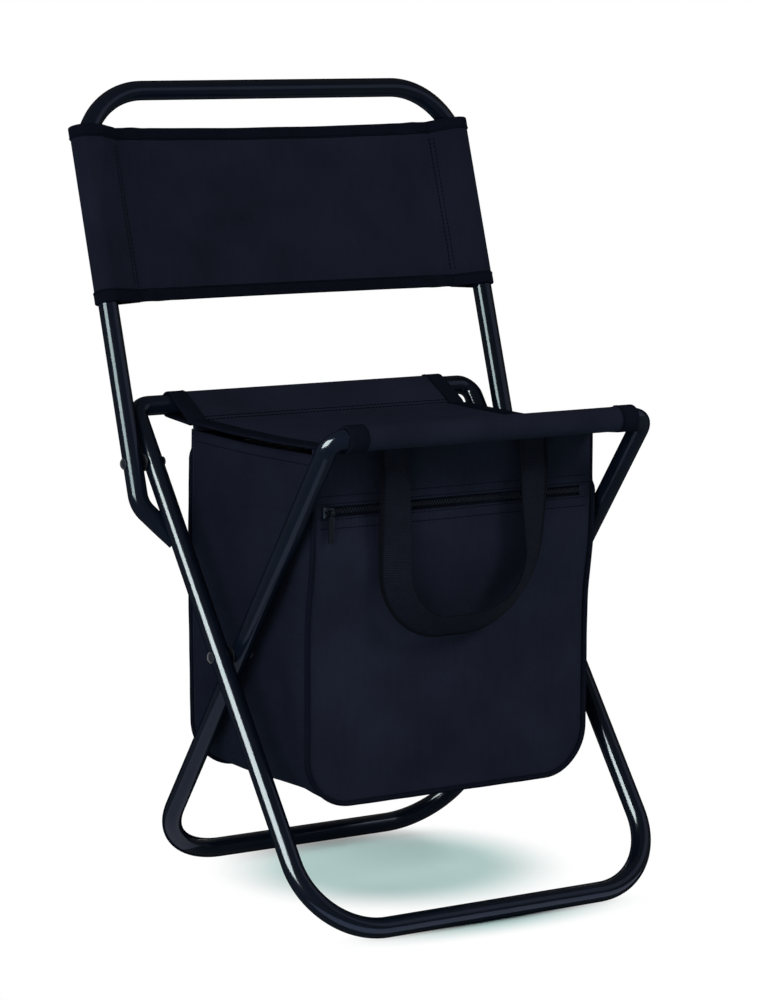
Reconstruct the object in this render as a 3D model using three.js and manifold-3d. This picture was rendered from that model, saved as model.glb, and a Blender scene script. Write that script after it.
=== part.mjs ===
import * as THREE from 'three';
import { mergeVertices } from 'three/addons/utils/BufferGeometryUtils.js';
import Module from 'manifold-3d';

const wasm = await Module();
wasm.setup();

// Folding stool: two crossed tube frames, a hinged backrest and an insulated bag under the seat.
// Millimetres, +Z up, the sitter faces -Y.

// Tube
const tubeDiameter = 16;
const tubeWall = 1;
const tubeRadius = tubeDiameter / 2;
const tubeSides = 16;
const boreSides = 8;

// Clearances
const fitGap = 0.3;
const sideGap = 0.25;
const tubeEndGap = 0.4;

// Rivets and washers
const rivetShank = 5;
const rivetHead = 9;
const rivetHeadHeight = 2.4;
const rivetTail = 7.5;
const rivetTailHeight = 1.6;
const washerDiameter = 14;
const crossingWasherRoom = 1.5;
const backrestWasherRoom = 2.5;
const roundSides = 16;
const joinerLength = 50;

// Crossed frames, given by the centre lines of their bars
const footBarSpread = 288.8;
const seatBarSpread = 274.4;
const seatBarHeight = 381.6;
const outerFrameWidth = 322;
const innerFrameWidth = outerFrameWidth - 2 * (tubeDiameter + crossingWasherRoom);
const footCornerRadius = 62;
const seatCornerRadius = 12;
const seatCornerFlatShare = 0.9;
const crossingShare = footBarSpread / (footBarSpread + seatBarSpread);

// Backrest
const backrestWidth = outerFrameWidth + 2 * (tubeDiameter + backrestWasherRoom);
const backrestRise = 305.6;
const backrestLeanShare = 0.3153;
const backrestCornerRadius = 60;
const backrestPivotShare = 0.89;
const lowerBendDrop = 34;
const lowerBendRadius = 24;
const lowerTipLength = 10;
const lowerTipFlatShare = 0.72;
const stopShare = 0.77;
const stopRoom = 1.3;

// Seat cloth
const clothThickness = 1.2;
const sleeveEndGap = 0.5;
const sleeveWidth = innerFrameWidth - 2 * (seatCornerRadius + sleeveEndGap);
const seamInset = 37.2;
const seamSpread = seatBarSpread - 2 * seamInset;
const seamDrop = 10.6;
const seamHeight = seatBarHeight - seamDrop;
const seatClothThickness = 1.6;
const seatSag = 1.5;
const tapeThickness = 0.8;
const sleeveTapeWidth = 16;

// Backrest cloth, measured up the uprights from the pivot
const backClothTopDrop = 31.6;
const backClothHigh = backrestRise - backClothTopDrop;
const backClothDepth = 143;
const backClothLow = backClothHigh - backClothDepth;
const backSeamInset = 30;
const backSleeveSlack = 10;
const backClothThickness = 2;
const backTapeWidth = 10;

// Bag, hung under the seat and inside its seams
const bagSideInset = 2.5;
const bagWidth = sleeveWidth - 2 * bagSideInset;
const bagTopDrop = 6.5;
const bagTop = seamHeight - bagTopDrop;
const bagDepth = 273.5;
const bagBottom = bagTop - bagDepth;
const bagCornerRadius = 38;
const bagWall = 1.6;
const bagFrontInset = 13;
const bagFrontTop = seamSpread / 2 - bagFrontInset;
const bagFrontStep = 10;
const bagFrontLow = bagFrontTop - bagFrontStep;
const bagStepDrop = 106.5;
const bagStepHeight = bagTop - bagStepDrop;
const bagStepRun = 14;
const bagBackInset = 1;
const bagBackTop = seamSpread / 2 - bagBackInset;
const bagBackBulge = 3;
const linerWall = 4;
const pipingRadius = 1.8;

// Zip
const zipDrop = 44.5;
const zipHeight = bagTop - zipDrop;
const zipSlot = 6.4;
const zipTapeReach = 11;
const zipTapeThickness = 0.7;
const zipBeadHeight = 2.4;
const zipBeadProud = 0.8;
const zipEndInset = 9.5;
const zipHalfLength = bagWidth / 2 - zipEndInset;
const sliderLength = 10;
const sliderWidth = 8.4;
const sliderPlate = 1.2;
const sliderEndInset = 3;
const sliderParking = zipHalfLength - sliderEndInset;
const bailRadius = 0.8;
const bailStandoff = 2.9;
const bailFoot = 1.6;
const pullLength = 24;
const pullWidth = 5;
const pullThickness = 1.2;
const pullEye = 3.2;
const pullHole = 2;

// Carrying handle
const handleSpan = 128;
const handleDrop = 144;
const handleWebWidth = 26;
const handleWebThickness = 2.2;
const handleSeamGap = 1;
const handleStandoff = seamSpread / 2 + handleSeamGap;
const handleTwist = Math.PI / 4;
const handleTwistShares = [0.1, 0.75];
const handleSteps = 36;

// Finishes
const finishes = {
  tube: { color: 0x0e1013, roughness: 0.22, metalness: 0.25 },
  rivet: { color: 0x2a2d31, roughness: 0.3, metalness: 0.8 },
  nylon: { color: 0x0c0d0f, roughness: 0.6, metalness: 0 },
  steel: { color: 0x8b8f94, roughness: 0.45, metalness: 0.9 },
  cloth: { color: 0x181c28, roughness: 0.85, metalness: 0 },
  tape: { color: 0x10131a, roughness: 0.9, metalness: 0 },
  webbing: { color: 0x171b25, roughness: 0.88, metalness: 0 },
  liner: { color: 0xa9adb0, roughness: 0.4, metalness: 0.3 },
  zip: { color: 0x14171e, roughness: 0.7, metalness: 0 },
  slider: { color: 0x2b2f38, roughness: 0.35, metalness: 0.6 },
};

const v3 = (x, y, z) => new THREE.Vector3(x, y, z);
const xAxis = v3(1, 0, 0);
const down = v3(0, 0, -1);
const product = new THREE.Group();

function addPart(name, geometry, finish) {
  const mesh = new THREE.Mesh(geometry, new THREE.MeshStandardMaterial(finishes[finish]));
  mesh.name = name;
  product.add(mesh);
}

// Solid operations on plain vertex and triangle lists
function toSolid(geometry) {
  const bare = geometry.clone();
  bare.deleteAttribute('normal');
  bare.deleteAttribute('uv');
  const welded = mergeVertices(bare, 0.0001);
  const mesh = new wasm.Mesh({
    numProp: 3,
    vertProperties: new Float32Array(welded.attributes.position.array),
    triVerts: new Uint32Array(welded.index.array),
  });
  return new wasm.Manifold(mesh);
}

function toGeometry(solid) {
  const mesh = solid.getMesh();
  const geometry = new THREE.BufferGeometry();
  const positions = new Float32Array(mesh.numVert * 3);
  for (let i = 0; i < mesh.numVert; i += 1) {
    for (let k = 0; k < 3; k += 1) {
      positions[3 * i + k] = mesh.vertProperties[mesh.numProp * i + k];
    }
  }
  geometry.setAttribute('position', new THREE.BufferAttribute(positions, 3));
  geometry.setIndex(Array.from(mesh.triVerts));
  const facets = geometry.toNonIndexed();
  facets.computeVertexNormals();
  return facets;
}

// A line through corner points, each corner rounded by its own radius
function roundedPath(corners, radii, stepAngle = Math.PI / 14) {
  const stations = [];
  const last = corners.length - 1;
  const heading = (i) => corners[i + 1].clone().sub(corners[i]).normalize();
  stations.push({ point: corners[0].clone(), tangent: heading(0), bend: 0 });
  for (let i = 1; i < last; i += 1) {
    const before = heading(i - 1);
    const after = heading(i);
    const turn = before.angleTo(after);
    const radius = radii[i - 1];
    const trim = radius * Math.tan(turn / 2);
    const start = corners[i].clone().addScaledVector(before, -trim);
    const inward = after.clone().addScaledVector(before, -after.dot(before)).normalize();
    const centre = start.clone().addScaledVector(inward, radius);
    const steps = Math.max(3, Math.ceil(turn / stepAngle));
    for (let k = 0; k <= steps; k += 1) {
      const angle = (turn * k) / steps;
      const point = centre.clone();
      point.addScaledVector(inward, -radius * Math.cos(angle));
      point.addScaledVector(before, radius * Math.sin(angle));
      const tangent = before.clone().multiplyScalar(Math.cos(angle));
      tangent.addScaledVector(inward, Math.sin(angle));
      stations.push({ point, tangent, bend: Math.sin((Math.PI * k) / steps), corner: i });
    }
  }
  stations.push({ point: corners[last].clone(), tangent: heading(last - 1), bend: 0 });
  return stations;
}

// Section directions carried along the line without twist
function carryNormals(stations, firstNormal) {
  let normal = firstNormal.clone();
  for (const station of stations) {
    normal = normal.clone().addScaledVector(station.tangent, -normal.dot(station.tangent)).normalize();
    station.normal = normal;
    station.side = station.tangent.clone().cross(normal);
  }
  return stations;
}

// Closed skin over rings of equal length, capped at both ends
function skin(rings) {
  const positions = [];
  for (const ring of rings) {
    for (const point of ring) {
      positions.push(point.x, point.y, point.z);
    }
  }
  const count = rings[0].length;
  const lastRing = (rings.length - 1) * count;
  const index = [];
  for (let i = 0; i + 1 < rings.length; i += 1) {
    for (let k = 0; k < count; k += 1) {
      const a = i * count + k;
      const b = i * count + ((k + 1) % count);
      index.push(a, b, b + count, a, b + count, a + count);
    }
  }
  for (let k = 1; k + 1 < count; k += 1) {
    index.push(0, k + 1, k);
    index.push(lastRing, lastRing + k, lastRing + k + 1);
  }
  const geometry = new THREE.BufferGeometry();
  geometry.setAttribute('position', new THREE.Float32BufferAttribute(positions, 3));
  geometry.setIndex(index);
  return geometry;
}

// Round section whose flats lie at the given radius, one of them at the phase angle
function roundRings(stations, radius, sides, phase = 0) {
  const corner = radius / Math.cos(Math.PI / sides);
  return stations.map((station) => {
    const flatten = station.flatten ?? 1;
    const ring = [];
    for (let k = 0; k < sides; k += 1) {
      const angle = phase + (Math.PI * (2 * k + 1)) / sides;
      const point = station.point.clone();
      point.addScaledVector(station.normal, corner * flatten * Math.cos(angle));
      point.addScaledVector(station.side, corner * Math.sin(angle));
      ring.push(point);
    }
    return ring;
  });
}

// Cylinder along X, for holes, shanks and washers
function barX(radius, from, to, y, z, sides = roundSides) {
  const geometry = new THREE.CylinderGeometry(radius, radius, to - from, sides);
  geometry.rotateZ(Math.PI / 2);
  geometry.translate((from + to) / 2, y, z);
  return geometry;
}

// Flat outline in the YZ plane, pushed along X
function pushX(shape, from, to) {
  const geometry = new THREE.ExtrudeGeometry(shape, {
    depth: to - from,
    bevelEnabled: false,
    curveSegments: 6,
  });
  const basis = new THREE.Matrix4().makeBasis(v3(0, 1, 0), v3(0, 0, 1), xAxis);
  geometry.applyMatrix4(basis);
  geometry.translate(from, 0, 0);
  return geometry;
}

// Flat outline in the XZ plane, pushed along Y
function pushY(shape, from, to) {
  const geometry = new THREE.ExtrudeGeometry(shape, {
    depth: to - from,
    bevelEnabled: false,
    curveSegments: 4,
  });
  const basis = new THREE.Matrix4().makeBasis(xAxis, v3(0, 0, 1), v3(0, -1, 0));
  geometry.applyMatrix4(basis);
  geometry.translate(0, to, 0);
  return geometry;
}

// Frame corners
const footFront = v3(0, -footBarSpread / 2, tubeRadius);
const footRear = v3(0, footBarSpread / 2, tubeRadius);
const seatFront = v3(0, -seatBarSpread / 2, seatBarHeight);
const seatRear = v3(0, seatBarSpread / 2, seatBarHeight);
const crossing = footFront.clone().lerp(seatRear, crossingShare);
const legHeading = seatRear.clone().sub(footFront).normalize();
const pivot = footFront.clone().lerp(seatRear, backrestPivotShare);

// Each frame is one bent tube whose ends meet in the middle of its seat bar
function frameTube(width, foot, seat, holes) {
  const at = (base, x) => base.clone().setX(x);
  const corners = [
    at(seat, tubeEndGap / 2),
    at(seat, width / 2),
    at(foot, width / 2),
    at(foot, -width / 2),
    at(seat, -width / 2),
    at(seat, -tubeEndGap / 2),
  ];
  const radii = [seatCornerRadius, footCornerRadius, footCornerRadius, seatCornerRadius];
  const stations = roundedPath(corners, radii);
  const normal = xAxis.clone().cross(seat.clone().sub(foot)).normalize();
  carryNormals(stations, normal);
  for (const station of stations) {
    const tight = station.corner === 1 || station.corner === 4;
    station.flatten = tight ? 1 - (1 - seatCornerFlatShare) * station.bend : 1;
  }
  const footSide = xAxis.clone().negate().cross(normal);
  const phase = Math.atan2(down.dot(footSide), down.dot(normal));
  return hollow(stations, phase - Math.PI / tubeSides, holes);
}

function hollow(stations, phase, holes) {
  const first = stations[0];
  const last = stations[stations.length - 1];
  const through = [
    { ...first, point: first.point.clone().addScaledVector(first.tangent, -tubeEndGap / 4) },
    ...stations,
    { ...last, point: last.point.clone().addScaledVector(last.tangent, tubeEndGap / 4) },
  ];
  let solid = toSolid(skin(roundRings(stations, tubeRadius, tubeSides, phase + Math.PI / tubeSides)));
  solid = solid.subtract(toSolid(skin(roundRings(through, tubeRadius - tubeWall, boreSides, phase))));
  for (const hole of holes) {
    solid = solid.subtract(toSolid(hole));
  }
  return toGeometry(solid);
}

// Rivet holes across a leg pair
function rivetHoles(centreX, at) {
  const reach = tubeDiameter;
  const radius = rivetShank / 2 + fitGap;
  return [-1, 1].map((side) => barX(radius, side * centreX - reach, side * centreX + reach, at.y, at.z));
}

const outerLegX = outerFrameWidth / 2;
const innerLegX = innerFrameWidth / 2;
const uprightX = backrestWidth / 2;

addPart(
  'outer_frame_tube',
  frameTube(outerFrameWidth, footFront, seatRear, [
    ...rivetHoles(outerLegX, crossing),
    ...rivetHoles(outerLegX, pivot),
  ]),
  'tube',
);
addPart(
  'inner_frame_tube',
  frameTube(innerFrameWidth, footRear, seatFront, rivetHoles(innerLegX, crossing)),
  'tube',
);

// Rod inside the seat bar that joins the two tube ends
function joiner(seat) {
  const radius = tubeRadius - tubeWall - fitGap;
  return barX(radius, -joinerLength / 2, joinerLength / 2, seat.y, seat.z, boreSides);
}

addPart('outer_frame_joiner', joiner(seatRear), 'steel');
addPart('inner_frame_joiner', joiner(seatFront), 'steel');

// Backrest: one bent tube whose lower ends turn in behind the outer legs and stop the lean
const leanAngle = Math.atan(backrestLeanShare);
const upright = v3(0, Math.sin(leanAngle), Math.cos(leanAngle));
const backNormal = v3(0, Math.cos(leanAngle), -Math.sin(leanAngle));
const legRear = v3(0, legHeading.z, -legHeading.y);

function onBackrest(x, rise) {
  return pivot.clone().addScaledVector(upright, rise).setX(x);
}

function backrestTube() {
  const stopReach = tubeRadius + tubeRadius * lowerTipFlatShare + stopRoom;
  const stop = footFront.clone().lerp(seatRear, stopShare).addScaledVector(legRear, stopReach);
  stop.setX(outerLegX);
  const bend = onBackrest(uprightX, -lowerBendDrop);
  const tipHeading = stop.clone().sub(bend).normalize();
  const tip = stop.clone().addScaledVector(tipHeading, lowerTipLength);
  const corners = [onBackrest(0, backrestRise), onBackrest(uprightX, backrestRise), bend, tip];
  const half = carryNormals(roundedPath(corners, [backrestCornerRadius, lowerBendRadius]), backNormal);
  half[half.length - 1].flatten = lowerTipFlatShare;
  half.splice(half.length - 1, 0, {
    ...half[half.length - 1],
    point: stop.clone().addScaledVector(tipHeading, -lowerTipLength / 2),
  });
  const mirrored = half.slice(1).map((station) => {
    const point = station.point.clone().setX(-station.point.x);
    const tangent = station.tangent.clone().negate().setX(station.tangent.x);
    const normal = station.normal.clone().setX(-station.normal.x);
    return { ...station, point, tangent, normal, side: tangent.clone().cross(normal) };
  });
  return hollow([...mirrored.reverse(), ...half], 0, rivetHoles(uprightX, pivot));
}

addPart('backrest_tube', backrestTube(), 'tube');

// Rivet: domed head outside, shank through both tubes, set tail inside
function rivet(side, outerFace, innerFace, at) {
  const profile = [
    new THREE.Vector2(0, -rivetTailHeight),
    new THREE.Vector2(rivetTail / 2 - fitGap, -rivetTailHeight),
    new THREE.Vector2(rivetTail / 2, -fitGap),
    new THREE.Vector2(rivetShank / 2, -fitGap),
    new THREE.Vector2(rivetShank / 2, outerFace - innerFace + fitGap),
    new THREE.Vector2(rivetHead / 2, outerFace - innerFace + fitGap),
  ];
  const crownSteps = 4;
  for (let k = 1; k <= crownSteps; k += 1) {
    const angle = (Math.PI / 2) * (k / crownSteps);
    const radius = k === crownSteps ? 0 : (rivetHead / 2) * Math.cos(angle);
    const height = outerFace - innerFace + fitGap + rivetHeadHeight * Math.sin(angle);
    profile.push(new THREE.Vector2(radius, height));
  }
  const geometry = new THREE.LatheGeometry(profile, roundSides);
  geometry.rotateZ((-side * Math.PI) / 2);
  geometry.translate(side * innerFace, at.y, at.z);
  return toGeometry(toSolid(geometry));
}

function washer(side, from, to, at) {
  const low = Math.min(side * from, side * to);
  const high = Math.max(side * from, side * to);
  const ring = toSolid(barX(washerDiameter / 2, low, high, at.y, at.z));
  const hole = toSolid(barX(rivetShank / 2 + fitGap, low - fitGap, high + fitGap, at.y, at.z));
  return toGeometry(ring.subtract(hole));
}

const facetPeak = tubeRadius / Math.cos(Math.PI / tubeSides);
for (const [label, side] of [['left', -1], ['right', 1]]) {
  const crossingRivet = rivet(side, outerLegX + facetPeak, innerLegX - facetPeak, crossing);
  addPart(`crossing_rivet_${label}`, crossingRivet, 'rivet');
  const crossingWasher = washer(
    side,
    innerLegX + facetPeak + sideGap / 2,
    outerLegX - facetPeak - sideGap / 2,
    crossing,
  );
  addPart(`crossing_washer_${label}`, crossingWasher, 'nylon');
  const backrestRivet = rivet(side, uprightX + facetPeak, outerLegX - facetPeak, pivot);
  addPart(`backrest_rivet_${label}`, backrestRivet, 'rivet');
  const backrestWasher = washer(
    side,
    outerLegX + facetPeak + sideGap,
    uprightX - facetPeak - sideGap,
    pivot,
  );
  addPart(`backrest_washer_${label}`, backrestWasher, 'nylon');
}

// Outline of a cloth loop round a tube whose two layers meet at a seam point
function loopOutline(path, centre, seam, radius, seamHalf, clockwise) {
  const away = seam.clone().sub(centre);
  const reach = away.length();
  const toSeam = away.angle();
  const lift = Math.acos((radius - seamHalf) / reach);
  const across = new THREE.Vector2(-away.y, away.x).normalize();
  const low = seam.clone().addScaledVector(across, -seamHalf);
  const high = seam.clone().addScaledVector(across, seamHalf);
  if (clockwise) {
    path.absarc(centre.x, centre.y, radius, toSeam - lift, toSeam + lift, true);
    path.lineTo(high.x, high.y);
    path.lineTo(low.x, low.y);
  } else {
    path.absarc(centre.x, centre.y, radius, toSeam + lift, toSeam - lift, false);
    path.lineTo(low.x, low.y);
    path.lineTo(high.x, high.y);
  }
  path.closePath();
  return path;
}

// Seat cloth: a sleeve round each seat bar, bound at both ends, and the sling between the seams
const sleeveBore = facetPeak + fitGap;
const seamHalf = seatClothThickness / 2;
const seamY = seamSpread / 2;

function sleeveLoop(path, seat, radius, tail, reach, clockwise) {
  const centre = new THREE.Vector2(seat.y, seat.z);
  const seam = new THREE.Vector2(Math.sign(seat.y) * (seamY + fitGap), seamHeight);
  seam.addScaledVector(seam.clone().sub(centre).normalize(), reach);
  return loopOutline(path, centre, seam, radius, tail, clockwise);
}

function sleeve(seat) {
  const half = sleeveWidth / 2;
  const outer = sleeveLoop(new THREE.Shape(), seat, sleeveBore + clothThickness, tailHalf, 0, false);
  const inner = sleeveLoop(new THREE.Path(), seat, sleeveBore, fitGap, -2 * clothThickness, true);
  outer.holes.push(inner);
  return toGeometry(toSolid(pushX(outer, -half, half)));
}

// Binding folded over a sleeve end, open at the seam
function sleeveTape(seat, from, to) {
  const inside = sleeveBore + clothThickness + fitGap;
  const tail = tailHalf + fitGap;
  const outside = inside + tapeThickness;
  const outer = sleeveLoop(new THREE.Shape(), seat, outside, tail + tapeThickness, 0, false);
  const inner = sleeveLoop(new THREE.Shape(), seat, inside, tail, fitGap, false);
  const cut = toSolid(pushX(inner, from - fitGap, to + fitGap));
  return toGeometry(toSolid(pushX(outer, from, to)).subtract(cut));
}

const tailHalf = fitGap + clothThickness;
for (const [label, seat] of [['rear', seatRear], ['front', seatFront]]) {
  const end = sleeveWidth / 2;
  addPart(`${label}_sleeve`, sleeve(seat), 'cloth');
  addPart(`${label}_sleeve_tape_left`, sleeveTape(seat, -end, sleeveTapeWidth - end), 'tape');
  addPart(`${label}_sleeve_tape_right`, sleeveTape(seat, end - sleeveTapeWidth, end), 'tape');
}

// Sling with a shallow sag between the seams
const slingEdge = seamY - fitGap;
const slingHeight = (y) => seamHeight - seatSag * (1 - (y / slingEdge) ** 2);

function sling() {
  const steps = 10;
  const top = [];
  const under = [];
  for (let k = 0; k <= steps; k += 1) {
    const y = slingEdge * ((2 * k) / steps - 1);
    top.push(new THREE.Vector2(y, slingHeight(y) + seamHalf));
    under.push(new THREE.Vector2(y, slingHeight(y) - seamHalf));
  }
  return pushX(new THREE.Shape([...under, ...top.reverse()]), -sleeveWidth / 2, sleeveWidth / 2);
}

addPart('seat_sling', toGeometry(toSolid(sling())), 'cloth');

// Backrest cloth: sleeves over both uprights with a flat panel between their seams
function backOutline(grow) {
  const radius = sleeveBore + clothThickness + grow;
  const half = backClothThickness / 2 + grow;
  const seamX = uprightX - backSeamInset;
  const innerX = uprightX - backSleeveSlack;
  const lift = Math.acos((radius - half) / (innerX - seamX));
  const quarter = Math.PI / 2;
  const shape = new THREE.Shape();
  shape.moveTo(-seamX, -half);
  shape.lineTo(seamX, -half);
  shape.absarc(innerX, 0, radius, lift - Math.PI, -quarter, false);
  shape.absarc(uprightX, 0, radius, -quarter, quarter, false);
  shape.absarc(innerX, 0, radius, quarter, Math.PI - lift, false);
  shape.lineTo(seamX, half);
  shape.lineTo(-seamX, half);
  shape.absarc(-innerX, 0, radius, lift, quarter, false);
  shape.absarc(-uprightX, 0, radius, quarter, 3 * quarter, false);
  shape.absarc(-innerX, 0, radius, 3 * quarter, 4 * quarter - lift, false);
  shape.closePath();
  return shape;
}

function pushUpBackrest(shape, holes, from, to) {
  shape.holes.push(...holes);
  const geometry = new THREE.ExtrudeGeometry(shape, {
    depth: to - from,
    bevelEnabled: false,
    curveSegments: 4,
  });
  geometry.applyMatrix4(new THREE.Matrix4().makeBasis(xAxis, backNormal, upright));
  const base = onBackrest(0, from);
  geometry.translate(base.x, base.y, base.z);
  return toGeometry(toSolid(geometry));
}

// Room for an upright, wide enough for the start of the top bend
function uprightRoom(side) {
  const centres = [side * uprightX, side * (uprightX - backSleeveSlack)].sort((a, b) => a - b);
  const hole = new THREE.Path();
  hole.absarc(centres[0], 0, sleeveBore, 1.5 * Math.PI, Math.PI / 2, true);
  hole.absarc(centres[1], 0, sleeveBore, Math.PI / 2, -Math.PI / 2, true);
  return hole;
}

const backCloth = pushUpBackrest(backOutline(0), [-1, 1].map(uprightRoom), backClothLow, backClothHigh);

function backTape(from) {
  const outer = backOutline(fitGap + tapeThickness);
  return pushUpBackrest(outer, [backOutline(fitGap)], from, from + backTapeWidth);
}

addPart('backrest_cloth', backCloth, 'cloth');
addPart('backrest_tape_top', backTape(backClothHigh - backTapeWidth), 'tape');
addPart('backrest_tape_bottom', backTape(backClothLow), 'tape');

// Bag faces as seen from the side: the front leans forward above a soft step, the back bulges
function frontFace(z) {
  const step = 1 / (1 + Math.exp((bagStepHeight - z) / bagStepRun));
  return -bagFrontLow - (bagFrontTop - bagFrontLow) * step;
}

function backFace(z) {
  const share = (z - bagBottom) / (bagTop - bagBottom);
  return bagBackTop + bagBackBulge * Math.sin(Math.PI * share);
}

const bagSteps = 12;
const bagLevels = (low, high) => {
  const levels = [];
  for (let k = 0; k <= bagSteps; k += 1) {
    levels.push(low + ((high - low) * k) / bagSteps);
  }
  return levels;
};

// Slab between two side-view faces, pushed across the width
function sideSlab(front, back, low, high) {
  const levels = bagLevels(low, high);
  const points = levels.map((z) => new THREE.Vector2(back(z), z));
  points.reverse();
  for (const z of levels) {
    points.push(new THREE.Vector2(front(z), z));
  }
  return toSolid(pushX(new THREE.Shape(points.reverse()), -bagWidth, bagWidth));
}

// Front-view outline with rounded lower corners, drawn in from the bag's edge
function bagOutline(inset, top) {
  const half = bagWidth / 2 - inset;
  const low = bagBottom + inset;
  const radius = bagCornerRadius - inset;
  const shape = new THREE.Shape();
  shape.moveTo(-half, top);
  shape.lineTo(-half, low + radius);
  shape.absarc(radius - half, low + radius, radius, Math.PI, 1.5 * Math.PI, false);
  shape.absarc(half - radius, low + radius, radius, 1.5 * Math.PI, 2 * Math.PI, false);
  shape.lineTo(half, top);
  shape.closePath();
  return toSolid(pushY(shape, -bagWidth, bagWidth));
}

const moved = (face, by) => (z) => face(z) + by;
const innerFront = moved(frontFace, bagWall);
const innerBack = moved(backFace, -bagWall);
const panelTop = (face) => slingHeight(face) - seamHalf - fitGap;
const frontTop = panelTop(innerFront(bagTop));
const backTop = panelTop(innerBack(bagTop));
const edge = bagOutline(0, seamHeight);

const frontSheet = (low, high) => toGeometry(sideSlab(frontFace, innerFront, low, high).intersect(edge));
addPart('bag_front_lower', frontSheet(bagBottom, zipHeight - zipSlot / 2), 'cloth');
addPart('bag_front_upper', frontSheet(zipHeight + zipSlot / 2, frontTop), 'cloth');
addPart('bag_back', toGeometry(sideSlab(innerBack, backFace, bagBottom, backTop).intersect(edge)), 'cloth');

const gussetSlab = sideSlab(moved(innerFront, fitGap), moved(innerBack, -fitGap), bagBottom, bagTop);
const gussetRing = bagOutline(0, bagTop).subtract(bagOutline(bagWall, bagTop + bagWall));
addPart('bag_gusset', toGeometry(gussetRing.intersect(gussetSlab)), 'cloth');

// Insulated liner, open at the top under the sling and slotted behind the zip
const linerStep = bagWall + fitGap + zipTapeThickness + fitGap;
const linerTop = bagTop - fitGap;
const linerFront = moved(frontFace, linerStep);
const linerBack = moved(backFace, -linerStep);
function liner() {
  const block = sideSlab(linerFront, linerBack, bagBottom, linerTop);
  const outer = block.intersect(bagOutline(bagWall + fitGap, linerTop));
  const openTop = linerTop + linerWall;
  const core = sideSlab(moved(linerFront, linerWall), moved(linerBack, -linerWall), bagBottom, openTop);
  const hollowCore = core.intersect(bagOutline(bagWall + fitGap + linerWall, openTop));
  const slotHalf = zipHalfLength - 2 * sliderLength;
  const slotShape = new THREE.Shape([
    new THREE.Vector2(-slotHalf, zipHeight - zipSlot),
    new THREE.Vector2(slotHalf, zipHeight - zipSlot),
    new THREE.Vector2(slotHalf, zipHeight + zipSlot),
    new THREE.Vector2(-slotHalf, zipHeight + zipSlot),
  ]);
  const slot = toSolid(pushY(slotShape, -bagWidth, 0));
  return toGeometry(outer.subtract(hollowCore).subtract(slot));
}

addPart('bag_liner', liner(), 'liner');

// Piping cord round the sides and bottom of a bag face
function piping(face, outward) {
  const stand = (pipingRadius + fitGap) / Math.SQRT2;
  const half = bagWidth / 2 + stand;
  const low = bagBottom - stand;
  const radius = bagCornerRadius + stand;
  const outline = [];
  const levels = bagLevels(low + radius, bagTop).reverse();
  const cornerSteps = 6;
  for (const z of levels) {
    outline.push([-half, z]);
  }
  for (let k = 1; k <= cornerSteps; k += 1) {
    const angle = (Math.PI / 2) * (k / cornerSteps);
    outline.push([radius - half - radius * Math.cos(angle), low + radius - radius * Math.sin(angle)]);
  }
  const mirrored = outline.map(([x, z]) => [-x, z]).reverse();
  const points = [...outline, ...mirrored].map(([x, z]) => {
    const level = Math.max(z, bagBottom);
    return v3(x, face(level) + outward * stand, z);
  });
  const stations = points.map((point, i) => {
    const before = points[Math.max(i - 1, 0)];
    const after = points[Math.min(i + 1, points.length - 1)];
    return { point, tangent: after.clone().sub(before).normalize() };
  });
  carryNormals(stations, v3(0, 1, 0));
  const pipingSides = 6;
  return skin(roundRings(stations, pipingRadius * Math.cos(Math.PI / pipingSides), pipingSides));
}

addPart('front_piping', toGeometry(toSolid(piping(frontFace, -1))), 'tape');
addPart('rear_piping', toGeometry(toSolid(piping(backFace, 1))), 'tape');

// Zip: each tape follows the bag's face and carries half of the bead that stands in the slot
function zipTape(side) {
  const back = (z) => frontFace(z) + bagWall + fitGap;
  const near = zipHeight + (side * fitGap) / 2;
  const beadEnd = near + side * zipBeadHeight;
  const far = near + side * zipTapeReach;
  const points = [
    [frontFace(near) - zipBeadProud, near],
    [back(near) + zipTapeThickness, near],
    [back(far) + zipTapeThickness, far],
    [back(far), far],
    [back(beadEnd), beadEnd],
    [frontFace(beadEnd) - zipBeadProud, beadEnd],
  ];
  const shape = new THREE.Shape(points.map(([y, z]) => new THREE.Vector2(y, z)));
  return toGeometry(toSolid(pushX(shape, -zipHalfLength, zipHalfLength)));
}

addPart('zip_tape_upper', zipTape(1), 'zip');
addPart('zip_tape_lower', zipTape(-1), 'zip');

// Slider: a tapered plate on the bead with a bail that the pull hangs from
const sliderX = -sliderParking;
const plateBack = frontFace(zipHeight) - zipBeadProud - fitGap;
const plateFront = plateBack - sliderPlate;
const bailY = plateFront - bailStandoff;

function slider() {
  const half = sliderLength / 2;
  const wide = sliderWidth / 2;
  const narrowShare = 0.6;
  const shape = new THREE.Shape();
  shape.moveTo(-half, -wide);
  shape.quadraticCurveTo(0, -wide, half, -wide * narrowShare);
  shape.lineTo(half, wide * narrowShare);
  shape.quadraticCurveTo(0, wide, -half, wide);
  shape.closePath();
  const plate = pushY(shape, plateFront, plateBack);
  plate.translate(sliderX, 0, zipHeight);
  let solid = toSolid(plate);
  const bailHalf = pullEye / 2 + fitGap + bailFoot;
  solid = solid.add(toSolid(barX(bailRadius, sliderX - bailHalf, sliderX + bailHalf, bailY, zipHeight)));
  const footBack = plateFront + sliderPlate / 2;
  const footFace = bailY - bailRadius;
  for (const side of [-1, 1]) {
    const foot = new THREE.BoxGeometry(bailFoot, footBack - footFace, 2 * bailRadius);
    foot.translate(sliderX + side * (bailHalf - bailFoot / 2), (footBack + footFace) / 2, zipHeight);
    solid = solid.add(toSolid(foot));
  }
  return toGeometry(solid);
}

addPart('zip_slider', slider(), 'slider');

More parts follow.
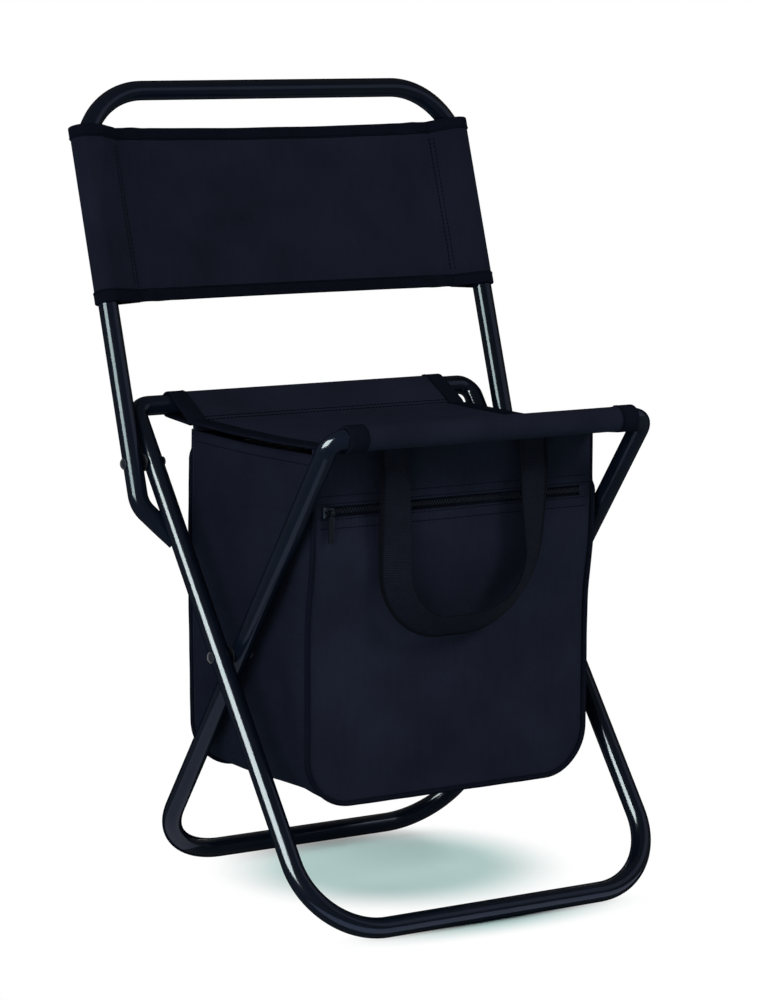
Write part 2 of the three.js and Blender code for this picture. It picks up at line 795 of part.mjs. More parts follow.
// Pull: an eye round the bail, a flat tab with rounded end and a small hole
function pull() {
  const eyeRadius = bailRadius + fitGap + pullThickness / 2;
  const rim = eyeRadius + pullThickness / 2;
  const eye = barX(rim, sliderX - pullEye / 2, sliderX + pullEye / 2, bailY, zipHeight);
  const half = pullWidth / 2;
  const shape = new THREE.Shape();
  const neck = zipHeight - eyeRadius;
  const end = zipHeight - pullLength + half;
  shape.moveTo(-pullEye / 2, neck + pullThickness / 2);
  shape.lineTo(-pullEye / 2, neck - pullThickness);
  shape.lineTo(-half, neck - 2 * pullThickness);
  shape.lineTo(-half, end);
  shape.absarc(0, end, half, Math.PI, 2 * Math.PI, false);
  shape.lineTo(half, neck - 2 * pullThickness);
  shape.lineTo(pullEye / 2, neck - pullThickness);
  shape.lineTo(pullEye / 2, neck + pullThickness / 2);
  shape.closePath();
  const hole = new THREE.Path();
  hole.absarc(0, end, pullHole / 2, 0, 2 * Math.PI, true);
  shape.holes.push(hole);
  const tab = pushY(shape, bailY - pullThickness / 2, bailY + pullThickness / 2);
  tab.translate(sliderX, 0, 0);
  const bore = barX(bailRadius + fitGap, sliderX - pullEye, sliderX + pullEye, bailY, zipHeight);
  return toGeometry(toSolid(eye).add(toSolid(tab)).subtract(toSolid(bore)));
}

addPart('zip_pull', pull(), 'slider');

// Handle: a webbing loop sewn under the front seam, its inner edge turning outward down the legs
function handle() {
  const radius = handleSpan / 2;
  const straight = handleDrop - radius;
  const total = 2 * straight + Math.PI * radius;
  const top = seamHeight - tailHalf - fitGap;
  const rings = [];
  for (let k = 0; k <= handleSteps; k += 1) {
    const run = (total * k) / handleSteps;
    const round = THREE.MathUtils.clamp((run - straight) / radius, 0, Math.PI);
    const fall = run < total / 2 ? Math.min(run, straight) : Math.min(total - run, straight);
    const outward = v3(-Math.cos(round), 0, -Math.sin(round));
    const point = v3(0, -handleStandoff, top - fall);
    point.addScaledVector(outward, radius);
    const share = 1 - Math.abs((2 * k) / handleSteps - 1);
    const twist = handleTwist * THREE.MathUtils.smoothstep(share, ...handleTwistShares);
    const forward = v3(0, -1, 0);
    const face = forward.clone().multiplyScalar(Math.cos(twist));
    face.addScaledVector(outward, Math.sin(twist));
    const across = outward.clone().multiplyScalar(Math.cos(twist));
    across.addScaledVector(forward, -Math.sin(twist));
    const ring = [];
    for (const [u, w] of [[1, 1], [1, -1], [-1, -1], [-1, 1]]) {
      const corner = point.clone().addScaledVector(across, (u * handleWebWidth) / 2);
      ring.push(corner.addScaledVector(face, (w * handleWebThickness) / 2));
    }
    rings.push(ring);
  }
  return toGeometry(toSolid(skin(rings)));
}

addPart('front_handle', handle(), 'webbing');

// Origin on the floor at the middle of the whole footprint
const box = new THREE.Box3();
for (const mesh of product.children) {
  mesh.geometry.computeBoundingBox();
  box.union(mesh.geometry.boundingBox);
}
const middle = box.getCenter(v3(0, 0, 0));
for (const mesh of product.children) {
  mesh.geometry.translate(-middle.x, -middle.y, -box.min.z);
}

export default product;
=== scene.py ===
import math

import bmesh
import bpy
import numpy as np
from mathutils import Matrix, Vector


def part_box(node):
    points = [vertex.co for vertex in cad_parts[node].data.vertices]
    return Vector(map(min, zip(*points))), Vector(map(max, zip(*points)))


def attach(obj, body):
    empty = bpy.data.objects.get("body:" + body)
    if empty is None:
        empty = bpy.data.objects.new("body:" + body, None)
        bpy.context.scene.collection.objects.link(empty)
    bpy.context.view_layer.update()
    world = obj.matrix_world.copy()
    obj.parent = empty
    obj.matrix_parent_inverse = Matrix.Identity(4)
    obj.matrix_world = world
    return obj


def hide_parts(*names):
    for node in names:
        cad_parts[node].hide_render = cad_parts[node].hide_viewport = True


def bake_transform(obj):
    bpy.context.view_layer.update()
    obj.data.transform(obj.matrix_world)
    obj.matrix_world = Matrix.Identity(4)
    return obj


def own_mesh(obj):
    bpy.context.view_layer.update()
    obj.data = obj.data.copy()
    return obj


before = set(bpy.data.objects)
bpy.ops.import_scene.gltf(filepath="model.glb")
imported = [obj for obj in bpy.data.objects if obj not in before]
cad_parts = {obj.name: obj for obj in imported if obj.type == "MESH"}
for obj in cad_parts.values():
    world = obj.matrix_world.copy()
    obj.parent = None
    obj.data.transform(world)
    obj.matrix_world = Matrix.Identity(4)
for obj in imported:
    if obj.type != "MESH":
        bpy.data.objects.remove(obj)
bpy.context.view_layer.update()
scene = bpy.context.scene
mm = 0.001

# the photograph's view: a little above the stool, and 32 degrees to the sitter's right
cameraSetup = {
    "view": (-32.25, 8.05, 2.712),  # azimuth and elevation in degrees, distance in metres
    "target": (-0.0094, -0.0269, 0.311),
    "lens": 122.8,
}


# a camera or lamp that looks at a point from an azimuth, an elevation and a distance
def aim(name, data, view, target):
    item = bpy.data.objects.new(name, data)
    a, e = math.radians(view[0]), math.radians(view[1])
    away = Vector((math.sin(a) * math.cos(e), -math.cos(a) * math.cos(e), math.sin(e)))
    item.location = Vector(target) + away * view[2]
    item.rotation_mode = "QUATERNION"
    item.rotation_quaternion = away.to_track_quat("Z", "Y")
    scene.collection.objects.link(item)
    return item


cameraData = bpy.data.cameras.new("photo_camera")
cameraData.sensor_width, cameraData.clip_end, cameraData.lens = 36, 50, cameraSetup["lens"]
scene.camera = aim("photo_camera", cameraData, cameraSetup["view"], cameraSetup["target"])
scene.view_settings.view_transform = "Standard"
print("camera set")

stool = {
    "tube": 16,
    "footSpread": 288.8,
    "seatSpread": 274.4,
    "seatHeight": 381.6,
    "outerWidth": 322,
    "innerWidth": 287,
    "footRadius": 62,
    "seatRadius": 12,
    "backWidth": 359,
    "backRise": 305.6,
    "backRadius": 60,
    "lean": math.atan(0.3153),
    "pivotShare": 0.89,
    "stopShare": 0.77,
    "sleeveWidth": 262,
    "seamY": 100,
    "seamZ": 371,
    "clothWall": 1.2,
}
joinerLow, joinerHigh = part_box("inner_frame_joiner")
# lengths below are mm from the middle of the frames, this far along Y from the CAD origin
shiftY = (joinerLow.y + joinerHigh.y) / 2 / mm + stool["seatSpread"] / 2
across, ahead = np.array([1.0, 0, 0]), np.array([0, -1.0, 0])


# coordinates broadcast over one grid and put together as its points
def together(*coordinates):
    return np.stack(np.broadcast_arrays(*coordinates), axis=-1)


# cosines and sines of angles, as points on a circle of radius 1
def cosSin(angle):
    return np.stack([np.cos(angle), np.sin(angle)], axis=-1)


def circle(sides):
    return cosSin(np.linspace(0, 2 * np.pi, sides, endpoint=False))


# unit vectors along the last axis
def unit(vectors):
    return vectors / np.maximum(np.linalg.norm(vectors, axis=-1, keepdims=True), 1e-9)


# running length along a line of points
def lengths(points):
    return np.concatenate([[0], np.cumsum(np.linalg.norm(np.diff(points, axis=0), axis=1))])


# values of a line at running lengths, straight between its points
def along(at, run, values):
    return np.stack([np.interp(at, run, column) for column in values.T], axis=1)


# a line resampled to evenly spaced points
def resample(points, count):
    run = lengths(points)
    return along(np.linspace(0, run[-1], count), run, points)


# smooth step from 0 to 1 between two edges
def ease(value, low, high):
    t = np.clip((value - low) / (high - low), 0, 1)
    return t * t * (3 - 2 * t)


# bell curve, 1 at its middle; a higher even power gives it a flat top
def hill(value, middle, width, power=2):
    return np.exp(-(((value - middle) / width) ** power))


# smooth, repeatable unevenness: a few sine waves of the two surface distances, about -1 to 1
def ripple(u, v, size, seed):
    draw = np.random.default_rng(seed)
    total = 0
    for _ in range(6):
        angle, phase, scale = draw.uniform(0, 2 * np.pi, 2).tolist() + [draw.uniform(0.6, 1.7)]
        distance = u * math.cos(angle) + v * math.sin(angle)
        total = total + np.sin(2 * np.pi * distance * scale / size + phase)
    return total / 3


# straight runs joined by circular bends, one radius for each inner corner, and how far each point
# is into a bend tighter than 30 mm, as half a sine wave
def roundedPath(corners, radii, stepAngle=4, tight=30):
    corners = np.asarray(corners, float)
    points, bends = [corners[:1]], [np.zeros(1)]
    for i, radius in enumerate(radii, start=1):
        before, after = unit(corners[i] - corners[i - 1]), unit(corners[i + 1] - corners[i])
        turn = math.acos(float(np.clip(before @ after, -1, 1)))
        inward = unit(after - before * (after @ before))
        start = corners[i] - before * radius * math.tan(turn / 2)
        steps = max(6, math.ceil(math.degrees(turn) / stepAngle))
        angle = np.linspace(0, turn, steps + 1)[:, None]
        bend = inward * radius * (1 - np.cos(angle)) + before * radius * np.sin(angle)
        points.append(start + bend)
        bends.append(np.sin(np.pi * angle[:, 0] / turn) * (radius < tight))
    return np.concatenate([*points, corners[-1:]]), np.concatenate([*bends, np.zeros(1)])


# directions of a line of points, from its neighbours on both sides
def headings(points, closed=False):
    if closed:
        return unit(np.roll(points, -1, axis=0) - np.roll(points, 1, axis=0))
    return unit(np.gradient(points, axis=0))


# rounded bar section: the corners' radius is a share of half its smaller side
def barSection(width, height, share=0.9, steps=4):
    radius = min(width, height) / 2 * share
    quarter = cosSin(np.linspace(0, np.pi / 2, steps)) * radius
    centre = np.array([width / 2 - radius, height / 2 - radius])
    turns = [(quarter, 1, 1), (quarter[::-1], -1, 1), (quarter, -1, -1), (quarter[::-1], 1, -1)]
    return np.concatenate([(corner + centre) * [a, b] for corner, a, b in turns])


# quads between neighbouring points of a grid; a wrapped direction runs on to its first line,
# and its uv grid is one line longer there
def gridPart(points, uv, wrapRows=False, wrapColumns=False):
    rows, columns = points.shape[:2]
    r, c = np.indices((rows - (not wrapRows), columns - (not wrapColumns))).reshape(2, -1)
    ring = [(r, c), (r + 1, c), (r + 1, c + 1), (r, c + 1)]
    faces = np.stack([(a % rows) * columns + b % columns for a, b in ring], axis=1)
    return points.reshape(-1, 3), faces, np.stack([uv[a, b] for a, b in ring], axis=1)


# a fan of triangles that closes a ring of points round its middle
def fanPart(ring):
    count = len(ring)
    index = np.arange(count)
    faces = np.stack([index, (index + 1) % count, np.full(count, count)], axis=1)
    points = np.concatenate([ring, ring.mean(axis=0, keepdims=True)])
    return points, faces, (points - points[-1])[:, :2][faces]


# rings that run on to the first one, or end in two fans
def tubeParts(points, uv, closed):
    fans = [] if closed else [fanPart(points[0]), fanPart(points[-1])]
    return [gridPart(points, uv, closed, True), *fans]


# a closed section carried along a line: point + a * normal + b * side for each of its (a, b)
def sweepPart(path, normal, side, section, closed=False):
    normal, side = (np.broadcast_to(vector, path.shape)[:, None] for vector in (normal, side))
    section = np.broadcast_to(section, (len(path), *np.shape(section)[-2:]))
    points = path[:, None] + section[..., :1] * normal + section[..., 1:] * side
    run = lengths(np.concatenate([path, path[:1]]) if closed else path)
    girth = lengths(np.concatenate([section[0], section[0][:1]]))
    return tubeParts(points, together(run[:, None], girth), closed)


# a turned part: a profile of (distance along X, radius) carried round an axis along X
def turnedParts(profile, at, direction, closed=False, sides=40):
    profile = np.asarray(profile, float)
    ring = profile[:, None, 1:] * circle(sides)
    x = at[0] + direction * profile[:, :1]
    points = together(x, at[1] + ring[..., 0], at[2] + ring[..., 1])
    uv = together(np.arange(len(profile) + 1.0)[:, None], np.arange(sides + 1.0))
    return tubeParts(points, uv, closed)


# cloth with a wall: the grid pushed out by half the wall on both sides along its normals,
# joined by rounded rims and closed at both ends
def sheetParts(points, uv, wall, rim=0.45):
    over = np.gradient(points, axis=1)
    lift = unit(np.cross(np.gradient(points, axis=0), over)) * wall / 2
    low = points[:, :1] - unit(over[:, :1]) * wall * rim
    high = points[:, -1:] + unit(over[:, -1:]) * wall * rim
    ring = np.concatenate([points + lift, high, (points - lift)[:, ::-1], low], axis=1)
    ringUv = np.concatenate([uv, uv[:, -1:], uv[:, ::-1], uv[:, :1], uv[:, :1]], axis=1)
    parts = [gridPart(ring, ringUv, wrapColumns=True)]
    columns = points.shape[1]
    k, last = np.arange(columns - 1), 2 * columns
    quads = np.stack([k, k + 1, last - k - 1, last - k], axis=1)
    rims = np.array([[columns - 1, columns, columns + 1], [0, last, last + 1]])
    for row in (0, len(points) - 1):
        flat = ringUv[row, :-1]
        parts += [(ring[row], quads, flat[quads]), (ring[row], rims, flat[rims])]
    return parts


# many small closed tubes: rings is a grid of tube, ring along it, point round it
def beadParts(rings):
    count, rows, sides = rings.shape[:3]
    r, c = np.indices((rows - 1, sides)).reshape(2, -1)
    beside = (c + 1) % sides
    quads = [r * sides + c, r * sides + beside, (r + 1) * sides + beside, (r + 1) * sides + c]
    caps = np.array([[0, a, a + 1] for a in range(1, sides - 1)])
    caps = np.concatenate([caps, caps + (rows - 1) * sides])
    start = np.arange(count)[:, None, None] * rows * sides
    quads, caps = (np.stack(quads, axis=1) + start).reshape(-1, 4), (caps + start).reshape(-1, 3)
    points = rings.reshape(-1, 3)
    uv = points[:, [0, 2]]
    # the caps bring no points of their own, and count back to the tubes'
    return [(points, quads, uv[quads]), (points[:0], caps - len(points), uv[caps])]


stitch = {"length": 2.6, "gap": 0.9, "width": 0.7, "height": 0.45, "lift": 0.1}
seamStitch = {**stitch, "width": 1.3, "height": 0.9}


# sewn stitches: short rounded beads spaced along a line, which is raised to the cloth's face and
# left free at a few points of both ends
def stitchParts(path, normal, raised, free=0, size=stitch):
    normal = unit(np.broadcast_to(normal, path.shape))
    path = path + normal * (raised + size["lift"])
    path, normal = path[free : len(path) - free], normal[free : len(path) - free]
    run = lengths(path)
    count = max(1, int(run[-1] // (size["length"] + size["gap"])))
    at = (np.arange(count) + 0.5) * run[-1] / count
    up = unit(along(at, run, normal))
    heading = unit(along(at + 0.2, run, path) - along(at - 0.2, run, path))
    side = np.cross(up, heading)
    reach = np.array([-0.5, -0.36, 0, 0.36, 0.5])[:, None, None] * size["length"]
    swell = np.array([0.35, 0.85, 1, 0.85, 0.35])[:, None, None]
    turn = circle(6) / 2
    wide, high = swell * turn[:, :1] * size["width"], swell * turn[:, 1:] * size["height"]
    vectors = (along(at, run, path), heading, side, up)
    centre, heading, side, up = (each[:, None, None] for each in vectors)
    return beadParts(centre + heading * reach + side * wide + up * high)


# one mesh of grids and fans, given as (points, faces, uv of each face corner); where they are
# joined, the shading runs on over their shared edges
def makePiece(name, parts, material, joined=True):
    verts, faces, uvs, start = [], [], [], 0
    for points, polygons, corners in parts:
        verts.append(points.reshape(-1, 3))
        faces.extend((polygons + start).tolist())
        uvs.append(corners.reshape(-1, 2))
        start += len(verts[-1])
    mesh = bpy.data.meshes.new(name)
    mesh.from_pydata(((np.concatenate(verts) + [0, shiftY, 0]) * mm).tolist(), [], faces)
    layer = mesh.uv_layers.new(name="cloth")
    layer.data.foreach_set("uv", (np.concatenate(uvs) * mm).astype(np.float32).ravel())
    work = bmesh.new()
    work.from_mesh(mesh)
    if joined:
        bmesh.ops.remove_doubles(work, verts=work.verts, dist=0.01 * mm)
    bmesh.ops.recalc_face_normals(work, faces=work.faces)
    work.to_mesh(mesh)
    work.free()
    mesh.polygons.foreach_set("use_smooth", np.full(len(mesh.polygons), True))
    mesh.materials.append(material)
    mesh.update()
    piece = bpy.data.objects.new(name, mesh)
    scene.collection.objects.link(piece)
    return piece


# sRGB hex to linear colour
def linear(code):
    values = np.array([int(code[i : i + 2], 16) for i in (1, 3, 5)]) / 255
    flat = np.where(values <= 0.04045, values / 12.92, ((values + 0.055) / 1.055) ** 2.4)
    return (*flat.tolist(), 1.0)


# one node with its settings and links; a link names a socket, or a node whose first output is taken
def add(tree, kind, settings=None, links=None):
    node = tree.nodes.new("ShaderNode" + kind)
    for name, value in (settings or {}).items():
        if isinstance(name, str) and hasattr(node, name):
            setattr(node, name, value)
        else:
            node.inputs[name].default_value = value
    for name, source in (links or {}).items():
        output = source if isinstance(source, bpy.types.NodeSocket) else source.outputs[0]
        tree.links.new(output, node.inputs[name])
    return node


# an empty material, its nodes and the coordinates that its patterns lie in
def startMaterial(name):
    material = bpy.data.materials.new(name)
    material.use_nodes = True
    tree = material.node_tree
    tree.nodes.clear()
    return material, tree, add(tree, "TexCoord").outputs["Object"]


# a material from its look: the pattern says how much of the lighter colour shows, what the shader
# is set to all over, and what is linked into it
def makeMaterial(name, look, pattern):
    material, tree, place = startMaterial(name)
    share, even, links = pattern(tree, place, look)
    pair = {"data_type": "RGBA", 6: linear(look["colour"]), 7: linear(look["light"])}
    colour = add(tree, "Mix", pair, {0: share}).outputs[2]
    shader = add(tree, "BsdfPrincipled", even, {"Base Color": colour, **links})
    add(tree, "OutputMaterial", None, {"Surface": shader})
    return material


# plain weave, 0 to 1: each thread is a half-round hump, sine of its own distance, and on alternate
# squares the warp or the weft is taken, lowered to 0.55 where it dives under its neighbours
def weaveHeight(tree, cloth, pitchU, pitchV):
    pitch = (1 / (pitchU * mm), 1 / (pitchV * mm), 0)
    threads = add(tree, "VectorMath", {"operation": "MULTIPLY", 1: pitch}, {0: cloth})
    turns = add(tree, "VectorMath", {"operation": "SCALE", "Scale": math.pi}, {0: threads})
    waves = add(tree, "VectorMath", {"operation": "SINE"}, {0: turns})
    humps = add(tree, "VectorMath", {"operation": "ABSOLUTE"}, {0: waves})
    hump = add(tree, "SeparateXYZ", None, {0: humps}).outputs
    yarns = []
    for own, other in ((0, 1), (1, 0)):
        dip = add(tree, "Math", {"operation": "MULTIPLY_ADD", 1: 0.45, 2: 0.55}, {0: hump[other]})
        yarns.append(add(tree, "Math", {"operation": "MULTIPLY"}, {0: hump[own], 1: dip}))
    floors = add(tree, "VectorMath", {"operation": "FLOOR"}, {0: threads})
    square = add(tree, "VectorMath", {"operation": "DOT_PRODUCT", 1: (1, 1, 0)}, {0: floors})
    over = add(tree, "Math", {"operation": "PINGPONG", 1: 1}, {0: square.outputs["Value"]})
    return add(tree, "Mix", {"data_type": "FLOAT"}, {0: over, 2: yarns[0], 3: yarns[1]})


# solution-dyed polyester canvas, woven: dull navy threads with no gloss of their own, so that it
# stays dark where it is seen flat on its side; a trace of sheen, and a tone that drifts over it
canvasLook = {
    "colour": "#0d0e14",
    "light": "#202331",
    "thread": 1.0,  # real threads lie about 0.5 mm apart; drawn twice as coarse, or they don't show
    "threadBump": 0.09,
    "patch": 55,
    "slub": 0.14,
    "slubSize": (3, 26),
    "drift": 0.5,
    "crumple": 18,
    "crumpleBump": 0.7,
    "roughness": 0.9,
    "sheen": 0.015,
    "sheenColour": "#6f7b99",
}


def canvasWeave(tree, place, look):
    cloth = add(tree, "UVMap", {"uv_map": "cloth"})
    height = weaveHeight(tree, cloth, look["thread"], look["thread"])
    patchSize = {"Scale": 1 / (look["patch"] * mm), "Detail": 3}
    patches = add(tree, "TexNoise", patchSize, {"Vector": place})
    slubSize = {"Scale": (*(1 / (size * mm) for size in look["slubSize"]), 1)}
    slubs = add(tree, "Mapping", slubSize, {"Vector": cloth})
    slub = add(tree, "TexNoise", {"Scale": 1, "Detail": 1}, {"Vector": slubs})
    # weave tops painted lighter and dips darker (painted highlight and shade); drift and slubs: own
    # tone
    toneAndWeaveHighlight = add(tree, "MapRange", {"To Min": 0.05, "To Max": 0.5}, {"Value": height})
    for weight, noise in ((look["drift"], patches), (look["slub"], slub)):
        toneAndWeaveHighlight = add(tree, "Math", {"operation": "MULTIPLY_ADD", 1: weight}, {0: noise, 2: toneAndWeaveHighlight})
    share = add(tree, "MapRange", {"From Min": 0.2}, {"Value": toneAndWeaveHighlight})
    crumpleSize = {"Scale": 1 / (look["crumple"] * mm), "Detail": 3}
    crumple = add(tree, "TexNoise", crumpleSize, {"Vector": place})
    folds = {"Distance": look["crumpleBump"] * mm, "Strength": 0.3}
    soft = add(tree, "Bump", folds, {"Height": crumple})
    relief = {"Distance": look["threadBump"] * mm, "Strength": 0.7}
    woven = add(tree, "Bump", relief, {"Height": height, "Normal": soft})
    even = {
        "Roughness": look["roughness"],
        "Specular IOR Level": 0.0,
        "Sheen Weight": look["sheen"],
        "Sheen Roughness": 0.4,
        "Sheen Tint": linear(look["sheenColour"]),
    }
    return share, even, {"Normal": woven}


# woven edging tape: fine ribs across it, denser and darker than the canvas
bindingLook = {
    "colour": "#07080d",
    "light": "#131621",
    "rib": 1.2,
    "cord": 0.8,
    "bump": 0.12,
    "wear": 12,
    "roughness": 0.88,
    "sheen": 0.0,
    "girth": 0,
}
# zip tape: the same weave in the canvas's own tone
zipTapeLook = {**bindingLook, "colour": "#0b0c13", "light": "#1a1d29", "sheen": 0.004}
# carrying webbing: heavy ribs across the band; it is darker towards its two edges, found from the
# distance halfway round the band
webbingLook = {
    "colour": "#0a0b10",
    "light": "#1a1b26",
    "rib": 1.7,
    "cord": 1.1,
    "bump": 0.3,
    "wear": 12,
    "roughness": 0.85,
    "sheen": 0.01,
    "girth": 27.3,
    "edge": (1.8, 3.4),
}


# narrow weave: the same humps at two spacings, with a slow wave along the tape for its ribs
def ribbedWeave(tree, place, look):
    cloth = add(tree, "UVMap", {"uv_map": "cloth"})
    height = weaveHeight(tree, cloth, look["rib"], look["cord"])
    way = add(tree, "SeparateXYZ", None, {0: cloth}).outputs
    ribTurn = {"operation": "MULTIPLY", 1: 2 * math.pi / (look["rib"] * mm)}
    turn = add(tree, "Math", ribTurn, {0: way[0]})
    rib = add(tree, "Math", {"operation": "SINE"}, {0: turn})
    cord = add(tree, "Math", {"operation": "MULTIPLY_ADD", 1: 0.3}, {0: rib, 2: height})
    wear = add(tree, "TexNoise", {"Scale": 1 / (look["wear"] * mm), "Detail": 3}, {"Vector": place})
    # rib and thread tops painted lighter, dips darker (painted highlight and shade); wear: own tone
    toneAndWeaveHighlight = add(tree, "Math", {"operation": "MULTIPLY_ADD", 1: 0.6}, {0: wear, 2: cord})
    share = add(tree, "MapRange", {"From Min": 0.1, "From Max": 1.6}, {"Value": toneAndWeaveHighlight})
    if look["girth"]:
        halfway = {"operation": "PINGPONG", 1: look["girth"] / 2 * mm}
        inward = add(tree, "Math", halfway, {0: way[1]})
        near, far = look["edge"]
        edge = {"From Min": near * mm, "From Max": far * mm, "To Min": 0.1}
        body = add(tree, "MapRange", edge, {"Value": inward})
        share = add(tree, "Math", {"operation": "MULTIPLY"}, {0: share, 1: body})
    relief = add(tree, "Bump", {"Distance": look["bump"] * mm, "Strength": 0.8}, {"Height": cord})
    even = {
        "Roughness": look["roughness"],
        "Specular IOR Level": 0.0,
        "Sheen Weight": look["sheen"],
    }
    return share, even, {"Normal": relief}


# powder-coated steel tube, gloss black: deep colour, sharp reflections that stay weak where the
# tube turns away, so that its edges are as dark as its middle, and a faint orange peel from baking
enamelLook = {
    "colour": "#080c15",
    "light": "#0c121d",
    "roughness": 0.12,
    "specular": 0.045,
    "turned": (0.1, 0.62),
    "tint": "#d3dff2",
    "dust": 28,
    "peel": 3.5,
}


def enamelSkin(tree, place, look):
    facing = add(tree, "LayerWeight", {"Blend": 0.5}).outputs["Facing"]
    near, far = look["turned"]
    weaker = {"From Min": near, "From Max": far, "To Min": look["specular"], "To Max": 0}
    level = add(tree, "MapRange", weaker, {"Value": facing})
    dust = add(tree, "TexNoise", {"Scale": 1 / (look["dust"] * mm), "Detail": 4}, {"Vector": place})
    rough = look["roughness"]
    spread = {"From Min": 0.35, "From Max": 0.7, "To Min": rough, "To Max": rough + 0.05}
    haze = add(tree, "MapRange", spread, {"Value": dust})
    peel = add(tree, "TexNoise", {"Scale": 1 / (look["peel"] * mm), "Detail": 1}, {"Vector": place})
    skin = add(tree, "Bump", {"Distance": 0.01 * mm, "Strength": 0.4}, {"Height": peel})
    links = {"Roughness": haze, "Specular IOR Level": level, "Normal": skin}
    return dust, {"Specular Tint": linear(look["tint"]), "IOR": 1.5}, links


# small cast or headed metal, lacquered dark; its raised edges are painted lighter and more metallic,
# partly worn lacquer and partly a painted highlight
zipMetalLook = {
    "colour": "#0b0e14",
    "light": "#55606f",
    "roughness": 0.34,
    "gloss": 0.05,
    "wornAndGlint": (0.57, 0.7),
    "spots": 1.6,
}
rivetLook = {
    **zipMetalLook,
    "colour": "#131820",
    "light": "#93a1ad",
    "roughness": 0.26,
    "gloss": 0.1,
    "wornAndGlint": (0.54, 0.62),
}


def lacquerSkin(tree, place, look):
    raised = add(tree, "NewGeometry").outputs["Pointiness"]
    # raised edges painted lighter: worn lacquer and a painted highlight
    low, high = look["wornAndGlint"]
    edgeRange = {"From Min": low, "From Max": high, "To Max": 0.8}
    wornAndGlint = add(tree, "MapRange", edgeRange, {"Value": raised})
    grain = {"Scale": 1 / (look["spots"] * mm), "Detail": 4}
    spots = add(tree, "TexNoise", grain, {"Vector": place})
    share = add(tree, "Math", {"operation": "MULTIPLY"}, {0: wornAndGlint, 1: spots})
    rough = look["roughness"]
    spread = {"From Min": 0.3, "From Max": 0.7, "To Min": rough - 0.06, "To Max": rough + 0.12}
    gloss = add(tree, "MapRange", spread, {"Value": spots})
    cast = add(tree, "Bump", {"Distance": 0.02 * mm, "Strength": 0.3}, {"Height": spots})
    links = {"Metallic": share, "Roughness": gloss, "Normal": cast}
    return share, {"Specular IOR Level": look["gloss"]}, links


# plain drawn steel rod: fine lines along its length, 0.9 mm apart at their coarsest
steelLook = {
    "colour": "#8a8d92",
    "light": "#b3b6ba",
    "grain": (25, 0.9, 0.9),
    "roughness": (0.32, 0.5),
    "relief": (0.01, 0.3),
    "even": {"Metallic": 1.0},
}
# nylon, moulded for the washers and extruded for the zip coil: even satin with a fine skin
washerLook = {
    "colour": "#08090c",
    "light": "#101217",
    "grain": (0.9, 0.9, 0.9),
    "roughness": (0.42, 0.58),
    "relief": (0.02, 0.4),
    "even": {"Specular IOR Level": 0.15, "IOR": 1.53},
}
coilLook = {
    **washerLook,
    "colour": "#0e1218",
    "light": "#181d27",
    "grain": (2.4, 2.4, 2.4),
    "roughness": (0.34, 0.5),
    "even": {"Specular IOR Level": 0.1, "IOR": 1.53},
}


# one grain, stretched along the axes, gives colour, roughness and relief
def evenGrain(tree, place, look):
    pitch = {"Scale": tuple(1 / (size * mm) for size in look["grain"])}
    grain = add(tree, "Mapping", pitch, {"Vector": place})
    skin = add(tree, "TexNoise", {"Scale": 1, "Detail": 3}, {"Vector": grain})
    low, high = look["roughness"]
    spread = {"From Min": 0.3, "From Max": 0.7, "To Min": low, "To Max": high}
    gloss = add(tree, "MapRange", spread, {"Value": skin})
    depth, strength = look["relief"]
    relief = add(tree, "Bump", {"Distance": depth * mm, "Strength": strength}, {"Height": skin})
    return skin, look["even"], {"Roughness": gloss, "Normal": relief}


# insulating film laminated on foam: silvery, crinkled in flat facets about 11 mm across
filmLook = {"colour": "#9da1a4", "light": "#babdc0", "facet": 11, "cloud": 25, "crinkle": 6}


def crinkledFilm(tree, place, look):
    facets = add(tree, "TexVoronoi", {"Scale": 1 / (look["facet"] * mm)}, {"Vector": place})
    scales = ({"Scale": 1 / (look[key] * mm), "Detail": 3} for key in ("cloud", "crinkle"))
    clouds, crinkle = (add(tree, "TexNoise", scale, {"Vector": place}) for scale in scales)
    folds = add(tree, "Bump", {"Distance": 1.2 * mm, "Strength": 0.35}, {"Height": facets})
    fine = {"Distance": 0.4 * mm, "Strength": 0.3}
    relief = add(tree, "Bump", fine, {"Height": crinkle, "Normal": folds})
    return clouds, {"Metallic": 0.35, "Roughness": 0.42}, {"Normal": relief}


# spun polyester sewing thread: twisted plies 0.9 mm long, darker than the cloth it is sewn into
threadLook = {"colour": "#050609", "light": "#0b0d13", "ply": 0.9}


def twistedPly(tree, place, look):
    twist = {"Scale": 1 / (look["ply"] * mm), "Distortion": 0.6, "bands_direction": "DIAGONAL"}
    share = add(tree, "TexWave", twist, {"Vector": place}).outputs["Fac"]
    relief = add(tree, "Bump", {"Distance": 0.08 * mm, "Strength": 0.5}, {"Height": share})
    return share, {"Roughness": 0.7, "Specular IOR Level": 0.0}, {"Normal": relief}


